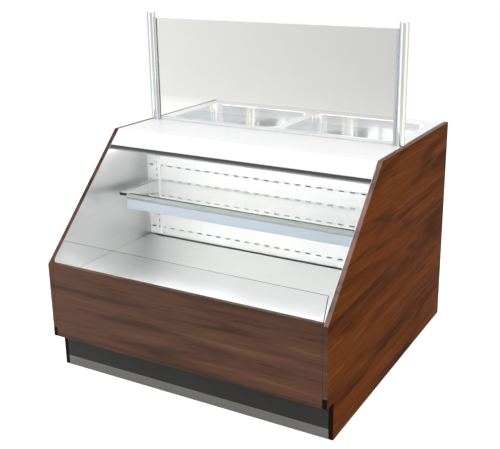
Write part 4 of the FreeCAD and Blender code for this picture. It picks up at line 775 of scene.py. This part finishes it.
class COUNTER_OT_shelf(bpy.types.Operator):
    """Glass shelf with its standards, brackets and lamp rail"""

    bl_idname = "counter.shelf"
    bl_label = "Shelf"

    def execute(self, context):
        metal = context.scene.counter_metal
        rounded("shelf_standards", "white_paint", metal.sheet_edge)
        rounded("shelf_brackets", "satin_aluminium", metal.fold_radius)
        bm = copy_of("glass_shelf")
        round_edges(bm, context.scene.counter_glass.ground_edge)
        rail_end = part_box("shelf_front_rail")[0].x
        cut(bm, (rail_end, 0, 0), (1, 0, 0))
        finish_faces(bm, 1, lambda face: face.normal.y < -TURNED)
        # Left of the rail the shelf's front edge is near-black, a painted shade
        finish_faces(bm, 2, lambda face: face.normal.y < -TURNED and face.calc_center_median().x < rail_end)
        looks = ["shelf_pane", "shelf_rim", "shelf_tip"]
        keep(bm, "glass_shelf_piece", looks, "case", ("glass_shelf",))
        bm = copy_of("shelf_front_rail")
        round_edges(bm, metal.fold_radius)
        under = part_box("shelf_front_rail")[0].z + 1 * MM
        finish_faces(bm, 1, lambda face: face.normal.z < -STRAIGHT and face.calc_center_median().z < under)
        finish_faces(bm, 2, lambda face: face.normal.z > STRAIGHT)
        looks = ["rail_metal", "shelf_lamp", "white_paint"]
        keep(bm, "shelf_front_rail_piece", looks, "case", ("shelf_front_rail",))
        rounded("shelf_light_lens", "lens_cover", CAST_EDGE, segments=4)
        return {"FINISHED"}


class COUNTER_OT_canopy(bpy.types.Operator):
    """Canopy face, trim, ceiling, air outlet and lamp"""

    bl_idname = "counter.canopy"
    bl_label = "Canopy"

    def execute(self, context):
        fold = context.scene.counter_metal.fold_radius
        rounded("canopy_face", "white_board", context.scene.counter_laminate.edge_radius)
        rounded("canopy_edge_trim", "trim_bead", CAST_EDGE, segments=4)
        dress("canopy_ceiling", "white_paint")
        dress("air_discharge_honeycomb", "grey_plastic")
        rounded("canopy_light_housing", "satin_aluminium", fold)
        rounded("canopy_light_lens", "lamp_cover", CAST_EDGE, segments=4)
        return {"FINISHED"}


class COUNTER_OT_worktop(bpy.types.Operator):
    """White worktop"""

    bl_idname = "counter.worktop"
    bl_label = "Worktop"

    def execute(self, context):
        rounded("worktop", "white_board", context.scene.counter_laminate.edge_radius)
        return {"FINISHED"}


def open_edges(bm):
    return [edge for edge in bm.edges if edge.is_boundary]


def edges_at(verts):
    """The edges that meet some vertices, each of them once and in order."""
    return list(dict.fromkeys(edge for vert in verts for edge in vert.link_edges))


def level_faces(bm, height):
    """The faces that lie flat at one height."""
    return [face for face in bm.faces if all(abs(vert.co.z - height) < NEAR for vert in face.verts)]


def drawn_well(node, low, high, floor):
    """A drawn steel pan: rounded corners and foot, a drain hole and a flange with a rolled rim."""
    metal = bpy.context.scene.counter_metal
    flange_low, flange_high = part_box(node)
    top = flange_high.z
    bm = bmesh.new()
    corners = box(bm, (*low, floor), (*high, top))
    middle = (Vector((*low, floor)) + Vector((*high, floor))) / 2
    lean = [1.0 - 2 * metal.well_draft / (high[axis] - low[axis]) for axis in (X, Y)]
    feet = [vert for vert in corners if vert.co.z < floor + NEAR]
    bmesh.ops.scale(bm, vec=(*lean, 1.0), space=Matrix.Translation(-middle), verts=feet)
    uprights = [edge for edge in bm.edges if abs(edge.verts[0].co.z - edge.verts[1].co.z) > NEAR]
    round_these(bm, uprights, metal.well_corner, segments=10)
    lowest = level_faces(bm, floor)
    round_these(bm, list(lowest[0].edges), metal.well_foot, segments=6)
    bmesh.ops.delete(bm, geom=level_faces(bm, floor) + level_faces(bm, top), context="FACES")
    rings = open_edges(bm)
    rim = [edge for edge in rings if edge.verts[0].co.z > top - NEAR]
    foot = [edge for edge in rings if edge.verts[0].co.z < floor + NEAR]
    place = Matrix.Translation(middle)
    hole = bmesh.ops.create_circle(bm, segments=40, radius=DRAIN_HOLE, matrix=place)["verts"]
    bmesh.ops.triangle_fill(bm, use_beauty=True, edges=foot + edges_at(hole), normal=(0, 0, 1))
    centre = (flange_low + flange_high) / 2
    size = flange_high - flange_low
    place = Matrix.Translation((centre.x, centre.y, top)) @ Matrix.Diagonal((size.x, size.y, 1.0, 1.0))
    sheet = bmesh.ops.create_grid(bm, x_segments=1, y_segments=1, size=0.5, matrix=place)["verts"]
    outline = edges_at(sheet)
    bmesh.ops.delete(bm, geom=list(sheet[0].link_faces), context="FACES_ONLY")
    bmesh.ops.triangle_fill(bm, use_beauty=True, edges=rim + outline, normal=(0, 0, 1))
    bmesh.ops.recalc_face_normals(bm, faces=bm.faces)
    flange = [face for face in bm.faces if face.calc_center_median().z > top - NEAR]
    if flange[0].normal.z < 0:
        bmesh.ops.reverse_faces(bm, faces=bm.faces)
    sharp = math.radians(69)
    rolled = [edge for edge in bm.edges if not edge.is_boundary and edge.calc_face_angle(0.0) > sharp]
    round_these(bm, rolled, metal.well_rim, segments=4)
    piece = keep(bm, node + "_piece", ["steel_drawn"], "case", (node,), smooth=50)
    thicken(piece, WELL_SHEET)
    # Shading is evened after the sheet is thick, so that the flat floor stays flat
    piece.modifiers.move(0, 1)


class COUNTER_OT_wells(bpy.types.Operator):
    """Two cold wells with their drains and the foam round them"""

    bl_idname = "counter.wells"
    bl_label = "Cold wells"

    def execute(self, context):
        drawn_well("left_well", (-WELL_OUTER, WELL_FRONT), (-WELL_INNER, WELL_REAR), WELL_FLOOR)
        drawn_well("right_well", (WELL_INNER, WELL_FRONT), (WELL_OUTER, WELL_REAR), WELL_FLOOR)
        rounded("well_drains", "chrome", TURNED_EDGE)
        dress("well_jacket", "foam")
        return {"FINISHED"}


class COUNTER_OT_guard(bpy.types.Operator):
    """Guard glass with its gaskets, posts and nuts"""

    bl_idname = "counter.guard"
    bl_label = "Guard glass"

    def execute(self, context):
        for node in ("left_guard_post", "right_guard_post"):
            rounded(node, "chrome", MOULDED_EDGE)
        dress("post_nuts", "zinc")
        rounded("glass_gaskets", "grey_rubber", context.scene.counter_metal.fold_radius)
        edge = context.scene.counter_glass.ground_edge
        rounded(
            "guard_glass", "guard_pane", edge, edge_look="guard_rim", face_axis=(0, 1, 0))
        return {"FINISHED"}


class COUNTER_OT_evaporator(bpy.types.Operator):
    """Cooling coil and its two fans under the deck"""

    bl_idname = "counter.evaporator"
    bl_label = "Evaporator"

    def execute(self, context):
        dress("evaporator_coil", "fin_aluminium")
        rounded("evaporator_fan_plate", "galvanised", context.scene.counter_metal.sheet_edge)
        rounded("evaporator_fan_motors", "black_enamel", CAST_EDGE, segments=3)
        for node in ("left_evaporator_fan", "right_evaporator_fan"):
            rounded(node, "black_plastic", BLADE_EDGE, body=node)
        return {"FINISHED"}


class COUNTER_OT_machine(bpy.types.Operator):
    """Compressor, condenser and pipes behind the rear panel"""

    bl_idname = "counter.machine"
    bl_label = "Machine compartment"

    def execute(self, context):
        edge = context.scene.counter_metal.sheet_edge
        dress("machine_tray", "galvanised")
        rounded("compressor", "black_enamel", SHELL_EDGE, segments=4)
        rounded("compressor_mounts", "black_rubber", CAST_EDGE, segments=3)
        dress("condenser_coil", "fin_aluminium")
        rounded("condenser_shroud", "galvanised", edge)
        rounded("condenser_fan_motor", "black_enamel", CAST_EDGE, segments=3)
        rounded("condenser_fan", "black_plastic", BLADE_EDGE, body="condenser_fan")
        rounded("refrigerant_lines", "copper", BLADE_EDGE, segments=1, angle=60)
        rounded("drain_pipe", "grey_plastic", BLADE_EDGE, segments=1, angle=60)
        rounded("condensate_pan", "galvanised", edge)
        return {"FINISHED"}


def louvre_hoods(panel):
    """Pressed hoods over the slots of the service panel, open downwards."""
    reach = bpy.context.scene.counter_metal.louvre_reach
    half = LOUVRE_LENGTH / 2
    bm = bmesh.new()
    for middle in LOUVRE_MIDDLES:
        for row in range(LOUVRE_ROWS):
            low = LOUVRE_LOWEST + row * LOUVRE_PITCH - LOUVRE_TALL / 2
            start = (middle - half, panel - LOUVRE_BITE, low)
            box(bm, start, (middle + half, panel + reach, low + LOUVRE_TALL))
    shell = [face for face in bm.faces if face.normal.z < -STRAIGHT or face.normal.y < -STRAIGHT]
    bmesh.ops.delete(bm, geom=shell, context="FACES")
    outer = [edge for edge in bm.edges if not edge.is_boundary]
    round_these(bm, outer, reach * LOUVRE_ROUND, segments=4)
    return bm


class COUNTER_OT_rear_panels(bpy.types.Operator):
    """Rear panels with louvres, screws and the cable gland"""

    bl_idname = "counter.rear_panels"
    bl_label = "Rear panels"

    def execute(self, context):
        dress("rear_upper_panel", "white_paint")
        dress("rear_service_panel", "white_paint")
        hoods = louvre_hoods(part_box("rear_service_panel")[1].y)
        thicken(keep(hoods, "louvre_hoods", ["white_paint"]), LOUVRE_SHEET)
        dress("rear_panel_screws", "zinc")
        rounded("cable_gland", "grey_plastic", TURNED_EDGE)
        return {"FINISHED"}


class COUNTER_OT_controls(bpy.types.Operator):
    """Control plate, rocker switches and thermostat knob"""

    bl_idname = "counter.controls"
    bl_label = "Controls"

    def execute(self, context):
        rounded("control_plate", "black_plastic", MOULDED_EDGE)
        edges = {
            "power_switch": MOULDED_EDGE, "light_switch": MOULDED_EDGE, "thermostat_knob": TURNED_EDGE,
        }
        for node, edge in edges.items():
            rounded(node, "black_plastic", edge, body=node, segments=3)
        centre = Matrix.Translation((KNOB_X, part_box("control_plate")[1].y, KNOB_Z))
        marks = bmesh.new()
        for step in range(KNOB_MARKS):
            verts = box(marks, KNOB_MARK_LOW, KNOB_MARK_HIGH)
            turn = Matrix.Rotation(step * KNOB_MARK_TURN, 4, "Y")
            bmesh.ops.transform(marks, matrix=centre @ turn, verts=verts)
        keep(marks, "knob_scale", ["mark_white"])
        return {"FINISHED"}


# Stage

FLOOR_REACH = 30.0
FLOOR_LIFT = 0.57
LAMP_AIM = 0.6
SCREEN_TALL = 1.1
CAMERA_PLACE = (1.6076, -2.7908, 1.6302)
CAMERA_DIP = math.radians(16.721)
CAMERA_TURN = math.radians(27.433)
CAMERA_SHIFT = (-0.0867, -0.0615)
SENSOR_WIDTH = 36.0
SIGHT_END = 100.0


def seen_directly(tree):
    """One for rays from the camera, from gloss and through glass, and nothing for the rest."""
    path = add(tree, "ShaderNodeLightPath")
    pair = add(tree, "ShaderNodeMath", operation="MAXIMUM")
    tree.links.new(path.outputs["Is Camera Ray"], pair.inputs[0])
    tree.links.new(path.outputs["Is Glossy Ray"], pair.inputs[1])
    every = add(tree, "ShaderNodeMath", operation="MAXIMUM")
    tree.links.new(pair.outputs["Value"], every.inputs[0])
    tree.links.new(path.outputs["Is Transmission Ray"], every.inputs[1])
    return every.outputs["Value"]


def lay_floor(settings):
    """A wide pale floor that keeps the shadow and looks white away from it."""
    bm = bmesh.new()
    bmesh.ops.create_grid(bm, x_segments=1, y_segments=1, size=FLOOR_REACH)
    mesh = bpy.data.meshes.new("floor")
    bm.to_mesh(mesh)
    bm.free()
    floor = bpy.data.objects.new("floor", mesh)
    bpy.context.scene.collection.objects.link(floor)
    material, tree, shader = new_finish("floor_pale")
    shader.inputs["Base Color"].default_value = (*settings.floor, 1.0)
    shader.inputs["Roughness"].default_value = 0.9
    shader.inputs["Specular IOR Level"].default_value = 0.0
    shader.inputs["Emission Color"].default_value = WHITE
    lift = add(tree, "ShaderNodeMath", operation="MULTIPLY")
    tree.links.new(seen_directly(tree), lift.inputs[0])
    lift.inputs[1].default_value = FLOOR_LIFT
    tree.links.new(lift.outputs["Value"], shader.inputs["Emission Strength"])
    mesh.materials.append(material)


def flat_lamp(name, place, aim, colour):
    """A flat lamp that looks at the middle of the case, at a height; its size and power come later."""
    light = bpy.data.lights.new(name, "AREA")
    light.color = colour
    lamp = bpy.data.objects.new(name, light)
    bpy.context.scene.collection.objects.link(lamp)
    lamp.location = place
    sight = Vector((0, 0, aim)) - Vector(place)
    lamp.rotation_euler = sight.to_track_quat("-Z", "Y").to_euler()
    return lamp


def hang_lamp(name, place, power, size, colour):
    """A square soft lamp."""
    light = flat_lamp(name, place, LAMP_AIM, colour).data
    light.energy = power
    light.size = size


def stand_screen(name, place, glow, width, colour):
    """An upright lit screen, low beside the case, for the polished metal to mirror."""
    screen = flat_lamp(name, place, place[Z], colour)
    screen.data.shape = "RECTANGLE"
    screen.data.size = width
    screen.data.size_y = SCREEN_TALL
    screen.data.energy = math.pi * glow * width * SCREEN_TALL
    screen.visible_camera = False
    screen.visible_diffuse = False


def light_room(settings):
    """Even room light, and a white surround for what is seen directly."""
    world = bpy.data.worlds.new("room")
    bpy.context.scene.world = world
    world.use_nodes = True
    tree = world.node_tree
    tree.nodes.clear()
    ambient = add(tree, "ShaderNodeBackground", {"Color": WHITE, "Strength": settings.ambient})
    white = add(tree, "ShaderNodeBackground", {"Color": WHITE, "Strength": 1.0})
    mix = add(tree, "ShaderNodeMixShader")
    tree.links.new(seen_directly(tree), mix.inputs["Fac"])
    tree.links.new(ambient.outputs["Background"], mix.inputs[1])
    tree.links.new(white.outputs["Background"], mix.inputs[2])
    output = add(tree, "ShaderNodeOutputWorld")
    tree.links.new(mix.outputs["Shader"], output.inputs["Surface"])


def set_camera(settings):
    """The camera, above and to the right of the front."""
    lens = bpy.data.cameras.new("camera")
    lens.lens = settings.lens
    lens.sensor_width = SENSOR_WIDTH
    lens.shift_x, lens.shift_y = CAMERA_SHIFT
    lens.clip_end = SIGHT_END
    camera = bpy.data.objects.new("camera", lens)
    bpy.context.scene.collection.objects.link(camera)
    camera.location = CAMERA_PLACE
    camera.rotation_euler = (math.pi / 2 - CAMERA_DIP, 0.0, CAMERA_TURN)
    bpy.context.scene.camera = camera


class COUNTER_OT_stage(bpy.types.Operator):
    """Floor, lamps, room light and camera"""

    bl_idname = "counter.stage"
    bl_label = "Stage"

    def execute(self, context):
        settings = context.scene.counter_stage
        lay_floor(settings)
        # Name, place, power, size, colour
        for lamp in (
                ("key_lamp", (-2.4, -3.6, 3.6), settings.key_power, 2.6, (1.0, 0.985, 0.96)),
                ("fill_lamp", (3.8, -1.6, 2.4), settings.fill_power, 2.2, (1.0, 0.97, 0.92)),
                ("top_lamp", (0.2, 0.6, 4.4), settings.top_power, 3.0, (0.98, 0.99, 1.0)),
                ("warm_card", (3.4, 2.2, 2.3), settings.card_power, 1.6, (1.0, 0.80, 0.42)),
                ("cool_card", (-3.6, -1.4, 2.2), settings.card_power, 1.6, (0.55, 0.72, 1.0))):
            hang_lamp(*lamp)
        # Name, place, glow, width, colour
        for screen in (
                ("white_screen", (-1.50, -2.70, 0.70), settings.screen_glow, 2.3, (1.0, 0.90, 0.82)),
                ("warm_screen", (3.30, -0.10, 0.70), settings.screen_glow, 3.4, (1.0, 0.74, 0.16))):
            stand_screen(*screen)
        light_room(settings)
        set_camera(settings)
        context.scene.view_settings.view_transform = "Standard"
        return {"FINISHED"}


# Add-on

OPERATORS = (
    COUNTER_OT_side_panels, COUNTER_OT_front_boards, COUNTER_OT_base, COUNTER_OT_cold_tub, COUNTER_OT_deck,
    COUNTER_OT_lip, COUNTER_OT_linings, COUNTER_OT_shelf, COUNTER_OT_canopy, COUNTER_OT_worktop,
    COUNTER_OT_wells, COUNTER_OT_guard, COUNTER_OT_evaporator, COUNTER_OT_machine, COUNTER_OT_rear_panels,
    COUNTER_OT_controls, COUNTER_OT_stage,
)

SETTINGS = {
    "counter_laminate": LaminateSettings,
    "counter_metal": MetalSettings,
    "counter_glass": GlassSettings,
    "counter_stage": StageSettings,
}


class VIEW3D_PT_counter(bpy.types.Panel):
    """Lists the counter's pieces and settings"""

    bl_label = "Refrigerated Counter"
    bl_idname = "VIEW3D_PT_counter"
    bl_space_type = "VIEW_3D"
    bl_region_type = "UI"
    bl_category = "Counter"

    def draw(self, context):
        for name in SETTINGS:
            settings = getattr(context.scene, name)
            column = self.layout.column(align=True)
            for prop in settings.bl_rna.properties:
                if not prop.is_readonly and prop.identifier != "name":
                    column.prop(settings, prop.identifier)
        for operator in OPERATORS:
            self.layout.operator(operator.bl_idname)


def register():
    for kind in (*SETTINGS.values(), *OPERATORS, VIEW3D_PT_counter):
        bpy.utils.register_class(kind)
    for name, kind in SETTINGS.items():
        setattr(bpy.types.Scene, name, PointerProperty(type=kind))


def unregister():
    for name in SETTINGS:
        delattr(bpy.types.Scene, name)
    for kind in reversed((*SETTINGS.values(), *OPERATORS, VIEW3D_PT_counter)):
        bpy.utils.unregister_class(kind)


def main():
    register()
    for operator in OPERATORS:
        group, name = operator.bl_idname.split(".")
        getattr(getattr(bpy.ops, group), name)()


if __name__ == "__main__":
    main()
